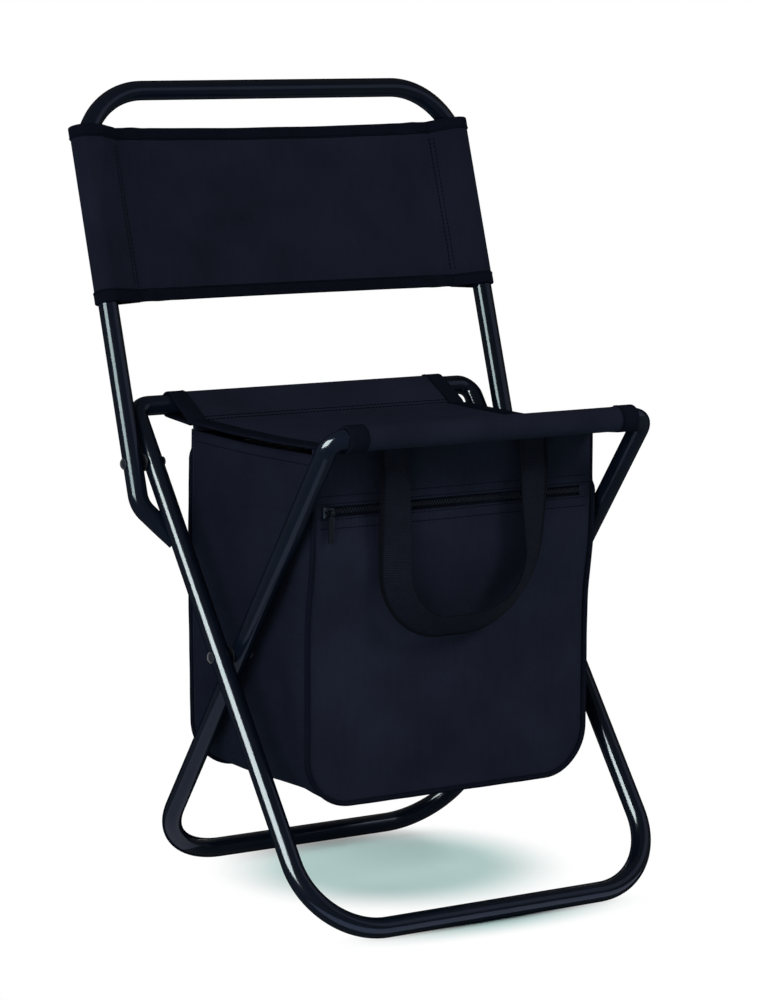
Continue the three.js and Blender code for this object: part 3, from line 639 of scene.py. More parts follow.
canvas = makeMaterial("woven_polyester_canvas", canvasLook, canvasWeave)
binding = makeMaterial("ribbed_edging_tape", bindingLook, ribbedWeave)
webbing = makeMaterial("ribbed_carrying_webbing", webbingLook, ribbedWeave)
zipTape = makeMaterial("ribbed_zip_tape", zipTapeLook, ribbedWeave)
enamel = makeMaterial("gloss_black_powder_coat", enamelLook, enamelSkin)
zipMetal = makeMaterial("dark_lacquered_zip_metal", zipMetalLook, lacquerSkin)
rivetMetal = makeMaterial("blackened_rivet_steel", rivetLook, lacquerSkin)
steel = makeMaterial("drawn_steel_rod", steelLook, evenGrain)
nylon = makeMaterial("moulded_black_nylon", washerLook, evenGrain)
coilNylon = makeMaterial("extruded_coil_nylon", coilLook, evenGrain)
film = makeMaterial("silver_insulating_film", filmLook, crinkledFilm)
thread = makeMaterial("spun_polyester_thread", threadLook, twistedPly)
print("materials made")

# the joiners stay as CAD nodes, in their finished material
for label in ("outer", "inner"):
    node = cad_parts[f"{label}_frame_joiner"]
    node.data.materials.clear()
    node.data.materials.append(steel)

tubeRadius = stool["tube"] / 2
footFront = np.array([0, -stool["footSpread"] / 2, tubeRadius])
footRear = footFront * [1, -1, 1]
seatFront = np.array([0, -stool["seatSpread"] / 2, stool["seatHeight"]])
seatRear = seatFront * [1, -1, 1]
leg = seatRear - footFront
crossing = footFront + leg * stool["footSpread"] / (stool["footSpread"] + stool["seatSpread"])
pivot = footFront + leg * stool["pivotShare"]
upright = np.array([0, math.sin(stool["lean"]), math.cos(stool["lean"])])
backNormal = np.array([0, math.cos(stool["lean"]), -math.sin(stool["lean"])])
outerX, innerX, uprightX = (stool[key] / 2 for key in ("outerWidth", "innerWidth", "backWidth"))

tubeLook = {"sides": 36, "cornerFlat": 0.9, "tipFlat": 0.72, "wall": 1.0, "bore": 14}


# a circle for each point of a tube, flattened along its first direction
def tubeSection(flat):
    return circle(tubeLook["sides"]) * together(flat, 1.0)[:, None] * tubeRadius


# one closed loop of tube: foot bar, two legs and the seat bar, its tight corners slightly flattened
def makeFrameTube(label, half, foot, seat):
    right = across * half
    corners = [seat, seat + right, foot + right, foot - right, seat - right, seat]
    radii = [stool[f"{key}Radius"] for key in ("seat", "foot", "foot", "seat")]
    path, bend = roundedPath(corners, radii)
    path, bend = path[:-1], bend[:-1]
    normal = np.broadcast_to(unit(np.cross(across, seat - foot)), path.shape)
    sides = np.cross(headings(path, closed=True), normal)
    section = tubeSection(1 - (1 - tubeLook["cornerFlat"]) * bend)
    parts = sweepPart(path, normal, sides, section, closed=True)
    piece = makePiece(f"{label}_frame_tube_round", parts, enamel)
    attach(piece, f"{label}_frame")
    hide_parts(f"{label}_frame_tube")
    return piece


outerTube = makeFrameTube("outer", outerX, footFront, seatRear)
innerTube = makeFrameTube("inner", innerX, footRear, seatFront)

backTubeSize = {"lowerDrop": 34, "lowerBend": 24, "tip": 10, "stopRoom": 1.3, "flatten": (4, 15)}


# the backrest tube: two uprights and a top bar, whose pinched open ends turn in behind the legs
def makeBackTube(size):
    reach = tubeRadius * (1 + tubeLook["tipFlat"]) + size["stopRoom"]
    behindLeg = np.array([0, leg[2], -leg[1]])
    stop = footFront + leg * stool["stopShare"] + unit(behindLeg) * reach + across * outerX
    bendPoint = pivot - upright * size["lowerDrop"] + across * uprightX
    tip = stop + unit(stop - bendPoint) * size["tip"]
    top = pivot + upright * stool["backRise"] + across * uprightX
    right = np.array([top, bendPoint, tip])
    corners = np.concatenate([right[::-1] * [-1, 1, 1], right])
    radii = [size["lowerBend"], stool["backRadius"], stool["backRadius"], size["lowerBend"]]
    path, _ = roundedPath(corners, radii)
    run, extra = lengths(path), np.array([3, 7, 12])  # more rings where the ends flatten
    stations = np.sort(np.concatenate([run, extra, run[-1] - extra]))
    path = along(stations, run, path)
    tail = np.minimum(stations, stations[-1] - stations)
    heading = headings(path)
    normals = unit(backNormal - heading * (heading @ backNormal)[:, None])
    sides = np.cross(heading, normals)
    tipFlat = tubeLook["tipFlat"]
    section = tubeSection(tipFlat + (1 - tipFlat) * ease(tail, *size["flatten"]))
    # the line turns back into each end, on a narrower section, for the bore
    order = np.concatenate([[0, 0], np.arange(len(path)), [-1, -1]])
    depth, narrow = np.zeros(len(order)), np.ones(len(order))
    depth[0], depth[-1] = tubeLook["bore"], -tubeLook["bore"]
    narrow[[0, 1, -2, -1]] = 1 - tubeLook["wall"] / tubeRadius
    path = path[order] + heading[order] * depth[:, None]
    section = section[order] * narrow[:, None, None]
    parts = sweepPart(path, normals[order], sides[order], section)
    piece = makePiece("backrest_tube_round", parts, enamel, joined=False)
    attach(piece, "backrest")
    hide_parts("backrest_tube")
    return piece


backTube = makeBackTube(backTubeSize)

rivetSize = {"shank": 5, "head": 9, "headHeight": 2.4, "tail": 7.5, "tailHeight": 1.6, "gap": 0.3}
washerSize = {"bore": 5.6, "width": 14, "edge": 0.25, "room": 0.1}


# a dome head with a thin rim, a shank and a set tail, from the inner tube's face outwards
def rivetProfile(grip):
    size, gap = rivetSize, rivetSize["gap"]
    head, tall, shank = size["head"] / 2, size["headHeight"], size["shank"] / 2
    tail, low = size["tail"] / 2, -size["tailHeight"]
    dome = np.linspace(0, np.pi / 2, 10)[1:-1]
    return [
        *[(low, 0.6), (low, tail - 0.7), (low + 0.35, tail - 0.15), (-0.75, tail)],
        *[(-gap, tail - 0.2), (-gap, shank), (grip, shank), (grip, head - 0.15)],
        *[(grip + 0.25, head), (grip + 0.6, head - 0.05), (grip + 0.75, head - 0.55)],
        *[(grip + 0.7 + (tall - 0.7) * math.sin(a), (head - 0.6) * math.cos(a)) for a in dome],
        (grip + tall, 0.12),
    ]


# a flat ring with its outer edges taken off
def washerProfile(low, high):
    inner, outer, edge = washerSize["bore"] / 2, washerSize["width"] / 2, washerSize["edge"]
    rim = [(low, outer - edge), (low + edge, outer), (high - edge, outer), (high, outer - edge)]
    return [(low, inner), *rim, (high, inner)]


rivets = []
for label, side in (("left", -1), ("right", 1)):
    for place, far, near, at in (
        ("crossing", outerX, innerX, crossing),
        ("backrest", uprightX, outerX, pivot),
    ):
        inside = near - tubeRadius
        profile = rivetProfile(far + tubeRadius - inside + rivetSize["gap"])
        turned = turnedParts(profile, (side * inside, at[1], at[2]), side)
        name = f"{place}_rivet_{label}_turned"
        rivet = makePiece(name, turned, rivetMetal, joined=False)
        room = tubeRadius + washerSize["room"]
        turned = turnedParts(washerProfile(near + room, far - room), at, side, closed=True)
        washer = makePiece(f"{place}_washer_{label}_moulded", turned, nylon)
        for kind, piece in (("rivet", rivet), ("washer", washer)):
            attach(piece, "outer_frame")
            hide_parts(f"{place}_{kind}_{label}")
        rivets.append(rivet)
print("frames made")

seatSize = {
    "wrapRadius": 9.1,
    "sag": 2.4,
    "unevenness": 0.45,
    "folds": 0.35,
    "groove": 0.8,
    "columns": 110,
    "tapeWidth": 16,
    "tapeWall": 0.9,
    "seamRows": (2.2, 5.6),
}


# side view of the cloth: under the rear bar, round it, down to its seam, across, and mirrored
def seatProfile():
    radius = seatSize["wrapRadius"]
    seam = np.array([stool["seamY"], stool["seamZ"]])
    centre = seatRear[1:]
    away = seam - centre
    base, lift = math.atan2(away[1], away[0]), math.acos(radius / np.linalg.norm(away))
    arc = centre + radius * cosSin(np.linspace(base + lift - 2 * math.pi, base - lift, 40))
    start = np.linspace(seam + [0.6, -1.5], arc[0], 10)[:-1]
    rear = np.concatenate([start, arc, np.linspace(arc[-1], seam, 12)[1:]])
    flat = together(np.linspace(seam[0], -seam[0], 42)[1:-1], seam[1])
    line = np.concatenate([rear, flat, rear[::-1] * [-1, 1]])
    return line, len(rear) - 1, len(rear) + len(flat)


# a stretched cloth's stitches made into a piece; the nodes that it and its tapes stand for are
# hidden, and its cut size in mm is printed
def stretchedCloth(label, pieces, nodes, sewn, flat):
    pieces = [*pieces, makePiece(f"{label}_stitching", sewn, thread)]
    for piece, replaced in zip(pieces, nodes):
        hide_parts(*replaced)
    print(label, "cloth made, cut length", round(max(flat)), "mm")
    return pieces


# the seat: the side view carried across, its flat part sagging as a parabola both ways
def makeSeat(size):
    line, rearSeam, frontSeam = seatProfile()
    run, wall = lengths(line), stool["clothWall"]
    half, width = stool["sleeveWidth"] / 2, size["tapeWidth"]
    x, y, z, s = np.linspace(-half, half, size["columns"]), line[:, :1], line[:, 1:], run[:, None]
    isFlat = (s >= run[rearSeam]) & (s <= run[frontSeam])
    sag = np.clip(1 - (y / stool["seamY"]) ** 2, 0, 1) * (1 - 0.35 * (x / half) ** 2) * isFlat
    z = z - size["sag"] * sag + size["unevenness"] * ripple(x, s, 90, 3) * sag
    # folds pull from the seam ends, where the tape is sewn down, and the seam lies in a groove
    fold = size["folds"] * isFlat * np.sin(x / 7.5) * ease(np.abs(x), 20, 118)
    for seam in (run[rearSeam], run[frontSeam]):
        z = z + fold * hill(s, seam, 13) - size["groove"] * hill(s, seam, 1.6)
    points = together(x, y, z)
    cover = makePiece("seat_cover", sheetParts(points, together(x, s), wall), canvas)
    normal = unit(np.cross(headings(points), across))
    tapes, sewn = [], []
    section = barSection(wall + 2 * size["tapeWall"], width, 0.8)
    inward = int(round(width / 2 / (2 * half) * (len(x) - 1)))
    for label, side, column in (("left", 1, inward), ("right", -1, -1 - inward)):
        path = points[:, column].copy()
        path[:, 0] = 0.25 * np.sin(run / 11 + side) - side * (half - width / 2 + 0.6)
        sweep = sweepPart(path, normal[:, column], across, section)
        tapes.append(makePiece(f"seat_edge_tape_{label}", sweep, binding))
    for seam, sign in ((rearSeam, 1), (frontSeam, -1)):
        for offset in size["seamRows"]:
            row = int(np.searchsorted(run, run[seam] - sign * offset))
            middle = (points[row] + points[row - 1]) / 2
            sewn += stitchParts(middle, normal[row], wall / 2, 4, seamStitch)
    for side in (-1, 1):
        column = np.argmin(np.abs(x - side * (half - width + 2.5)))
        sewn += stitchParts(points[:, column], normal[:, column], wall / 2 + size["tapeWall"], 12)
    ends, tubes = ("rear", "front"), ["outer_frame_tube_round", "inner_frame_tube_round"]
    nodes = [[f"{end}_sleeve_tape_{label}" for end in ends] for label in ("left", "right")]
    nodes = [["rear_sleeve", "front_sleeve", "seat_sling"], *nodes]
    flat = (stool["sleeveWidth"], run[-1])
    pieces = stretchedCloth("seat", [cover, *tapes], nodes, sewn, flat)
    # the seat's pieces get their placement baked into their meshes
    for piece in pieces:
        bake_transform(piece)
    return pieces


seatPieces = makeSeat(seatSize)

backSize = {
    "low": 131,
    "high": 274,
    "seamInset": 30,
    "wrapRadius": 9.15,
    "slack": 10,
    "tapeWidth": 10.5,
    "tapeWall": 0.8,
    "rows": 54,
    "laps": (-136, 131),  # where the tapes' ends meet
    "topDip": 2.2,
    "sleeveStand": 1.6,
    "bow": 1.1,
    "unevenness": 0.7,
    "puckers": 0.9,
    "groove": 0.7,
    "seamRows": (1.3, 4.6),
}
sleeveSeam = uprightX - backSize["seamInset"]


# one turn of cloth seen along the uprights: back seam, round the tube, front seam, across, mirrored
def backProfile(slack):
    radius, inner = backSize["wrapRadius"], uprightX - slack
    lift = math.acos(radius / (inner - sleeveSeam))
    backIn = radius * cosSin(np.linspace(lift, np.pi / 2, 8)) - [inner, 0]
    around = radius * cosSin(np.linspace(np.pi / 2, -np.pi / 2, 30)) * [-1, 1] - [uprightX, 0]
    frontIn = backIn[::-1] * [1, -1]
    lead = np.linspace([-sleeveSeam, 1.4], backIn[0], 6)[:-1]
    fall = np.linspace(frontIn[-1], [-sleeveSeam, -0.4], 9)[1:]
    left = resample(np.concatenate([lead, backIn, around, frontIn, fall]), 84)
    flat = together(np.linspace(-sleeveSeam, sleeveSeam, 92)[1:-1], -0.4)
    return np.concatenate([left, flat, left[::-1] * [-1, 1]]), len(left) - 1


# the backrest's points: one turn of cloth at each height, wider towards the top, where the tube bends
# in, and bowed between the sleeves by the square of half a sine wave
def backGrid(size):
    rise = np.linspace(size["low"], size["high"], size["rows"])
    slacks = 1.0 + size["slack"] * ease(rise, 205, 262)
    lines = np.array([backProfile(float(slack))[0] for slack in slacks])
    seamColumn = backProfile(1.0)[1]
    x, n, v = lines[..., 0], lines[..., 1], rise[:, None]
    side, column = np.abs(x), np.arange(x.shape[1])
    isFront = (column >= seamColumn - 20) & (column <= len(column) - seamColumn + 19)
    inPanel = np.clip(1 - (x / sleeveSeam) ** 2, 0, 1)
    height = (v - size["low"]) / (size["high"] - size["low"])
    # the top edge dips between the sleeves and stands up at both ends; the bottom rises a little
    stand = size["sleeveStand"] * ease(side, sleeveSeam, uprightX) * ease(height, 0.5, 1)
    v = v - size["topDip"] * inPanel * ease(height, 0.4, 1) + stand
    v = v + 0.5 * inPanel * (1 - ease(height, 0, 0.5))
    uneven = size["unevenness"] * ripple(x, v, 120, 11)
    n = n + inPanel * (uneven + size["bow"] * np.sin(np.pi * height) ** 2)
    # short puckers where the sleeve seams meet the tapes, and the seams' own grooves
    pucker = size["puckers"] * np.sin((side - sleeveSeam) / 3.6 + height * 9) * isFront
    for end in (0, 1):
        n = n + pucker * hill(height, end, 0.16) * hill(side, sleeveSeam - 14, 17)
    n = n + size["groove"] * hill(side, sleeveSeam, 1.5) * isFront
    points = pivot + across * x[..., None] + backNormal * n[..., None] + upright * v[..., None]
    run = lengths(together(x[0], n[0]))
    return points, together(run, v), run, x, seamColumn


# the panel, with a tape along both edges that is thicker where its ends lap, and its stitches
def makeBackrest(size):
    points, uv, run, x, seamColumn = backGrid(size)
    wall, width = stool["clothWall"], size["tapeWidth"]
    panel = makePiece("backrest_panel", sheetParts(points, uv, wall), canvas)
    up = headings(points)
    normal = unit(np.cross(np.gradient(points, axis=1), up))
    tapes, sewn = [], []
    tapeWall = wall + 2 * size["tapeWall"]
    for label, row, side in (("bottom", 0, 1), ("top", -1, -1)):
        inward = side * up[row]
        middle = points[row] + inward * (width / 2 - 0.8)
        lap = sum(hill(x[row], at, 7, 4) for at in size["laps"])
        thick = 1 + 0.45 * lap + 0.05 * np.sin(run / 9)
        section = barSection(tapeWall, width, 0.75) * together(thick, 1.0)[:, None]
        sweep = sweepPart(middle, normal[row], up[row], section)
        tapes.append(makePiece(f"backrest_edge_tape_{label}", sweep, binding))
        sewn += stitchParts(middle + inward * (width / 2 - 1.6), normal[row], tapeWall / 2 + 0.02)
    # rows beside the sleeve seams, a little towards the uprights, each between two columns
    for column, step in ((seamColumn, -1), (len(run) - 1 - seamColumn, 1)):
        for away in size["seamRows"]:
            at = column + away / (run[1] - run[0]) * step
            low, mix = math.floor(at), at - math.floor(at)
            path, facing = (a[:, low] * (1 - mix) + a[:, low + 1] * mix for a in (points, normal))
            sewn += stitchParts(path, facing, wall / 2, 5)
    nodes = [["backrest_cloth"], ["backrest_tape_bottom"], ["backrest_tape_top"]]
    flat, tubes = (run[-1], size["high"] - size["low"]), ["backrest_tube_round"]
    pieces = stretchedCloth("backrest", [panel, *tapes], nodes, sewn, flat)
    for piece in pieces:
        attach(piece, "backrest")
    return pieces


backPieces = makeBackrest(backSize)

bagSize = {
    "half": 128.5,
    "bottom": 91,
    "top": 364.5,
    "corner": 38,
    "wall": 1.6,
    "frontTop": 87,
    "frontStep": 10,
    "stepHeight": 258,
    "stepRun": 14,
    "back": 99,
    "backBulge": 3,
    "frontPanelTop": 369.2,
    "backPanelTop": 369.3,
    "depth": 176,
    "sideBulge": 3.6,
    "looseness": 0.75,
    "sideFolds": (1.3, 1.1),
    "hem": 0.45,
    "topHang": 1.6,
    "frontBulge": 3.4,
    "piping": 2.0,
    "pipingStand": 1.15,
    "pipingTop": 323,
    "rearPipingTop": 346,
    "zip": 320,
    "zipHalf": 119,
    "zipOpening": 8.0,
    "zipRows": (2.4, 8.2),
    "liner": 4,
    "linerGap": 1.4,
}
zipGap = bagSize["zipOpening"] / 2


# height on the bag, 0 at its bottom and 1 at its top
def bagHeight(z):
    return (z - bagSize["bottom"]) / (bagSize["top"] - bagSize["bottom"])


# side view of the front: it leans forward above a soft step, a logistic curve of the height
def frontFace(z):
    step = 1 / (1 + np.exp((bagSize["stepHeight"] - z) / bagSize["stepRun"]))
    return -bagSize["frontTop"] + bagSize["frontStep"] * (1 - step)


# side view of the back: half a sine wave between bottom and top
def backFace(z):
    return bagSize["back"] + bagSize["backBulge"] * np.sin(np.pi * np.clip(bagHeight(z), 0, 1))


# front-view outline from the top left, round both lower corners, to the top right, and its outward
# direction
def bagOutline(inset, top, count):
    half, radius = bagSize["half"] - inset, bagSize["corner"] - inset
    middle = np.array([radius - half, bagSize["bottom"] + inset + radius])
    corner = middle - radius * cosSin(np.linspace(0, np.pi / 2, 24))
    left = np.concatenate([[[-half, top]], corner])
    line = resample(np.concatenate([left, left[::-1] * [-1, 1]]), count)
    return line, headings(line)[:, ::-1] * [1, -1]


# the strip round the sides and bottom: the outline carried from front to back, pushed outward by
# a swell that rises quickly behind the front seam, eases off towards the middle and comes back in
# at the rear seam
def makeGusset():
    line, outward = bagOutline(bagSize["wall"] / 2, bagSize["top"], 190)
    t, x, z = np.linspace(0, 1, 80), line[:, :1], line[:, 1:]
    height, run = bagHeight(z), lengths(line)[:, None]
    onSide = ease(np.abs(outward[:, :1]), 0.3, 1)
    rise = ease(t, -0.01, 0.065) * ease(1 - t, -0.01, 0.12)
    settle = 1 - 0.95 * ease(t, 0.08, 0.24) + 0.6 * ease(t, 0.45, 0.8)
    belly = 0.45 + 0.55 * np.sin(np.pi * np.clip(height, 0, 1)) ** 0.8
    swell = bagSize["sideBulge"] * rise * settle * (belly * onSide + 0.5 * (1 - onSide))
    # loose cloth: a slow unevenness, a slanting fold from the upper front corner and one low down
    loose = bagSize["looseness"] * ripple(run, t * bagSize["depth"], 160, 21) * rise
    slantOne = hill(t, 0.12 + 0.75 * (1 - height), 0.07) * ease(height, 0.45, 0.8)
    middleTwo = 0.3 + 0.5 * height - 0.06 * np.sign(x)
    slantTwo = hill(t, middleTwo, 0.1) * (1 - ease(height, 0.35, 0.7))
    first, second = bagSize["sideFolds"]
    folds = (first * slantOne + second * slantTwo) * rise * onSide
    pulled = 1 - 0.85 * ease(height, 0.86, 0.985)
    hem = bagSize["hem"] * ease(height, 0.952, 0.958) * onSide
    bulge = np.clip((swell + loose + folds) * pulled, -1.1, 4.3) + hem
    y = (frontFace(z) + 0.5) * (1 - t) + (backFace(z) - 0.5) * t
    # the open top edge hangs a little between its two seams
    hang = bagSize["topHang"] * np.sin(np.pi * t) ** 2 * ease(height, 0.9, 1.0)
    points = together(x + outward[:, :1] * bulge, y, z + outward[:, 1:] * bulge - hang)
    parts = sheetParts(points, together(run, t * bagSize["depth"]), bagSize["wall"])
    gusset = makePiece("bag_side_strip", parts, canvas)
    normal = unit(np.cross(np.gradient(points, axis=1), np.gradient(points, axis=0)))
    sewn = []
    for p, n in ((points, normal), (points[::-1], normal[::-1])):
        row = int(np.argmin(np.abs(p[:60, 40, 2] - (bagSize["top"] - 8))))
        sewn += stitchParts(p[row], n[row], bagSize["wall"] / 2, 2)
    return gusset, sewn


# a face of the bag: rows from bottom to top, each as wide as the outline there, pushed out by a
# cushion whose edges are seams
def facePoints(face, low, high, rows, columns, sign, bulge, seed, inset=0.0):
    z, s = np.linspace(low, high, rows)[:, None], np.linspace(-1, 1, columns)
    radius = bagSize["corner"] - inset
    below = np.clip(bagSize["bottom"] + bagSize["corner"] - z, 0, radius)
    x = s * (bagSize["half"] - inset - (radius - np.sqrt(np.maximum(radius**2 - below**2, 0))))
    cushion = (1 - s**2) ** 0.5 * ease(z, bagSize["bottom"], bagSize["bottom"] + 34)
    roof = 0.35 + 0.65 * (1 - ease(bagHeight(z), 0.72, 0.82))
    swell = cushion * (bulge * roof + 0.9 * ripple(x, z, 150, seed))
    return together(x, face(z) + sign * swell, z)


# a sheet of a bag face, with its front view as its cloth coordinates
def faceParts(points, wall):
    return sheetParts(points, points[..., [0, 2]], wall)


# stitches along the row of a face nearest a height, ending short of the side seams
def rowStitches(points, level, reach, facing):
    path = points[int(np.argmin(np.abs(points[:, 0, 2] - level)))]
    return stitchParts(path[np.abs(path[:, 0]) <= reach], facing, bagSize["wall"] / 2)


# front in two sheets with the zip between, their edges folded under, and one sheet for the back
def makeBagFaces():
    size, wall, sewn = bagSize, bagSize["wall"], []
    low, seam = size["zip"] - zipGap, size["zip"] + zipGap
    lower = facePoints(frontFace, size["bottom"], low, 130, 96, -1, size["frontBulge"], 31)
    upper = facePoints(frontFace, seam, size["frontPanelTop"], 46, 96, -1, 0.7, 32)
    rear = facePoints(backFace, size["bottom"], size["backPanelTop"], 100, 96, 1, 2.2, 33)
    for points, edge, away in ((lower, low, -1), (upper, seam, 1)):
        # folded double beside the zip, with a dent under each stitch row
        distance = (points[..., 2] - edge) * away
        dents = sum(hill(distance, at, 0.9) for at in size["zipRows"])
        points[..., 1] += wall / 2 - 0.5 * (1 - ease(distance, 9, 10.5)) + 0.35 * dents
        for at in size["zipRows"]:
            sewn += rowStitches(points, edge + away * at, size["zipHalf"] + 6, ahead)
    rear[..., 1] -= wall / 2
    sewn += rowStitches(rear, 352, 122, -ahead)
    pieces = []
    for name, points, node in (
        ("bag_front", lower, "bag_front_lower"),
        ("bag_front_top", upper, "bag_front_upper"),
        ("bag_back_panel", rear, "bag_back"),
    ):
        pieces.append(makePiece(name, faceParts(points, wall), canvas))
        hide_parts(node)
    return pieces, sewn


# covered cord in the seam of a face: it stands off the corner diagonally, and above its own top it
# sinks into a plain seam, thinner and closer in
def makePiping(name, face, sign, top, node):
    line, outward = bagOutline(0, bagSize["top"] + 1, 200)
    z = line[:, 1]
    full = 1 - ease(z, top - 3, top + 5)
    stand = 0.35 + (bagSize["pipingStand"] - 0.35) * full
    flat = line + outward * stand[:, None]
    path = together(flat[:, 0], face(z) + sign * stand, flat[:, 1])
    run = lengths(path)
    path[:, 0] += 0.2 * np.sin(run / 23) * full
    heading = headings(path)
    normal = unit(np.cross(heading, -ahead))
    radius = (0.9 + (bagSize["piping"] - 0.9) * full) * (1 + 0.03 * np.sin(run / 5.5))
    section = circle(14) * radius[:, None, None]
    parts = sweepPart(path, normal, np.cross(heading, normal), section)
    piece = makePiece(name, parts, binding)
    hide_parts(node)
    return piece


# foam liner: sheets set inside the cloth on the same outlines, their top rim bound in dark tape,
# which also puts painted shade into the side gap under the seat's edge
def makeLiner():
    gap, wall, top = bagSize["wall"] + bagSize["linerGap"], bagSize["liner"], bagSize["top"] - 1.5
    inset, slot = gap + wall / 2, bagSize["zipOpening"] * 0.7
    line, _ = bagOutline(inset, top, 120)
    t, z = np.linspace(0, 1, 30), line[:, 1:]
    y = (frontFace(z) + gap + wall) * (1 - t) + (backFace(z) - gap - wall) * t
    uv = together(lengths(line)[:, None], t * bagSize["depth"])
    parts = sheetParts(together(line[:, :1], y, z), uv, wall)
    for face, sign, start, end in (
        (frontFace, 1, bagSize["bottom"] + gap, bagSize["zip"] - slot),
        (frontFace, 1, bagSize["zip"] + slot, top),
        (backFace, -1, bagSize["bottom"] + gap, top),
    ):
        sheet = facePoints(face, start, end, 40, 40, 1, 0, 41, inset=gap)
        sheet[..., 1] = face(sheet[..., 2]) + sign * inset
        parts += faceParts(sheet, wall)
    liner = makePiece("bag_insulating_liner", parts, film)
    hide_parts("bag_liner")
    half, front, back = bagSize["half"] - inset, frontFace(top) + inset, backFace(top) - inset
    corners = [(-half, front), (half, front), (half, back), (-half, back), (-half, front)]
    loop = resample(np.array(corners), 121)[:-1]
    path, up = together(loop[:, 0], loop[:, 1], top - 3.6), np.array([0, 0, 1.0])
    section = barSection(9, wall + 1.8, 0.8)
    rimParts = sweepPart(path, up, np.cross(headings(path, closed=True), up), section, closed=True)
    return [liner, makePiece("bag_liner_rim_tape_and_shade", rimParts, binding)]


gusset, sewnGusset = makeGusset()
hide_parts("bag_gusset")
faces, sewnFaces = makeBagFaces()
frontPiping = makePiping("bag_front_piping", frontFace, -1, bagSize["pipingTop"], "front_piping")
rearPiping = makePiping("bag_rear_piping", backFace, 1, bagSize["rearPipingTop"], "rear_piping")
liner = makeLiner()
bagStitches = makePiece("bag_stitching", sewnGusset + sewnFaces, thread)
print("bag made")

zipSize = {
    "pitch": 2.4,  # real turns of the coil lie 1.3 mm apart; drawn coarser so that they show
    "half": 1.75,
    "wire": 0.62,
    "reach": 11,
    "tapeWall": 0.7,
    "tapeDepth": 2.3,
    "endHalf": 6.5,
}


# two woven tapes and a nylon coil: each turn of the coil is a wire bent up from the tape, over the
# crown and back down, five rings of five points, repeated along the zip, its two sides half a
# pitch apart
def makeZip(size):
    half, z, pitch, pieces = bagSize["zipHalf"], bagSize["zip"], size["pitch"], []
    y = float(frontFace(z))
    for label, side in (("upper", 1), ("lower", -1)):
        zs = z + side * np.linspace(0.25, size["reach"], 12)
        xs = np.linspace(-half, half, 80)[:, None]
        parts = faceParts(together(xs, frontFace(zs) + size["tapeDepth"], zs), size["tapeWall"])
        tape = makePiece(f"zip_tape_{label}_woven", parts, zipTape)
        turns = int(2 * half / pitch)
        centre = -half + (np.arange(turns) + (0.5 if side == 1 else 0.0)) * pitch
        up = side * size["half"] * np.array([1.25, 1.2, 0.75, 0.2, -0.12])
        out = np.array([1.6, 0.4, -0.3, -0.35, 0.6])
        heading = unit(together(np.gradient(out), np.gradient(up)))[:, None] * size["wire"]
        turn = circle(5)
        wide, high = turn[:, 0] * size["wire"] * 0.9, turn[:, 1]
        ring = together(
            wide,
            y + 0.5 + out[:, None] - heading[..., 1] * high,
            z + up[:, None] + heading[..., 0] * high,
        )
        parts = beadParts(ring + across * centre[:, None, None, None])
        coil = makePiece(f"zip_coil_{label}", parts, coilNylon)
        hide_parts(f"zip_tape_{label}")
        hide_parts(f"zip_tape_{label}")
        pieces += [tape, coil]
    # the cloth is closed over both ends of the zip
    inner, outer, tall = half - 1.5, bagSize["half"] - 0.6, size["endHalf"]
    section = barSection(1.7, outer - inner, 0.7)
    for label, side in (("left", -1), ("right", 1)):
        x = side * (inner + outer) / 2
        path = np.linspace([x, y + 0.35, z - tall], [x, y + 0.35, z + tall], 9)
        parts = sweepPart(path, ahead, across, section)
        pieces.append(makePiece(f"zip_end_{label}", parts, canvas))
    return pieces


zipPieces = makeZip(zipSize)

castEdge = {"width": 0.22, "segments": 2, "sharp": 35, "flat": 2}


# a copy of a small CAD node with its edges rounded
def makeRounded(node, name, material, body):
    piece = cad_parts[node].copy()
    piece.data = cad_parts[node].data.copy()
    for key in list(piece.keys()):
        del piece[key]
    piece.parent = None
    piece.name = piece.data.name = name
    scene.collection.objects.link(piece)
    work = bmesh.new()
    work.from_mesh(piece.data)
    bmesh.ops.remove_doubles(work, verts=work.verts, dist=0.01 * mm)
    flat = math.radians(castEdge["flat"])
    bmesh.ops.dissolve_limit(work, angle_limit=flat, verts=work.verts, edges=work.edges)
    work.to_mesh(piece.data)
    work.free()
    bevel = piece.modifiers.new("rounded", "BEVEL")
    bevel.width, bevel.segments = castEdge["width"] * mm, castEdge["segments"]
    bevel.limit_method, bevel.angle_limit = "ANGLE", math.radians(castEdge["sharp"])
    piece.data.materials.clear()
    piece.data.materials.append(material)
    piece.data.polygons.foreach_set("use_smooth", np.full(len(piece.data.polygons), True))
    piece.data.update()
    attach(piece, body)
    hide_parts(node)
    return piece


slider = makeRounded("zip_slider", "zip_slider_cast", zipMetal, "slider")
pull = makeRounded("zip_pull", "zip_pull_cast", zipMetal, "pull")

handleSize = {
    "half": 64,
    "drop": 144,
    "leftRadius": 46,
    "rightRadius": 63,
    "width": 26,
    "wall": 2.2,
    "stand": 101,
    "twist": 45,
    "twistFrom": 0.1,
    "twistTo": 0.72,
    "top": 369.2,
    "tuck": 2.2,
    "steps": 170,
}


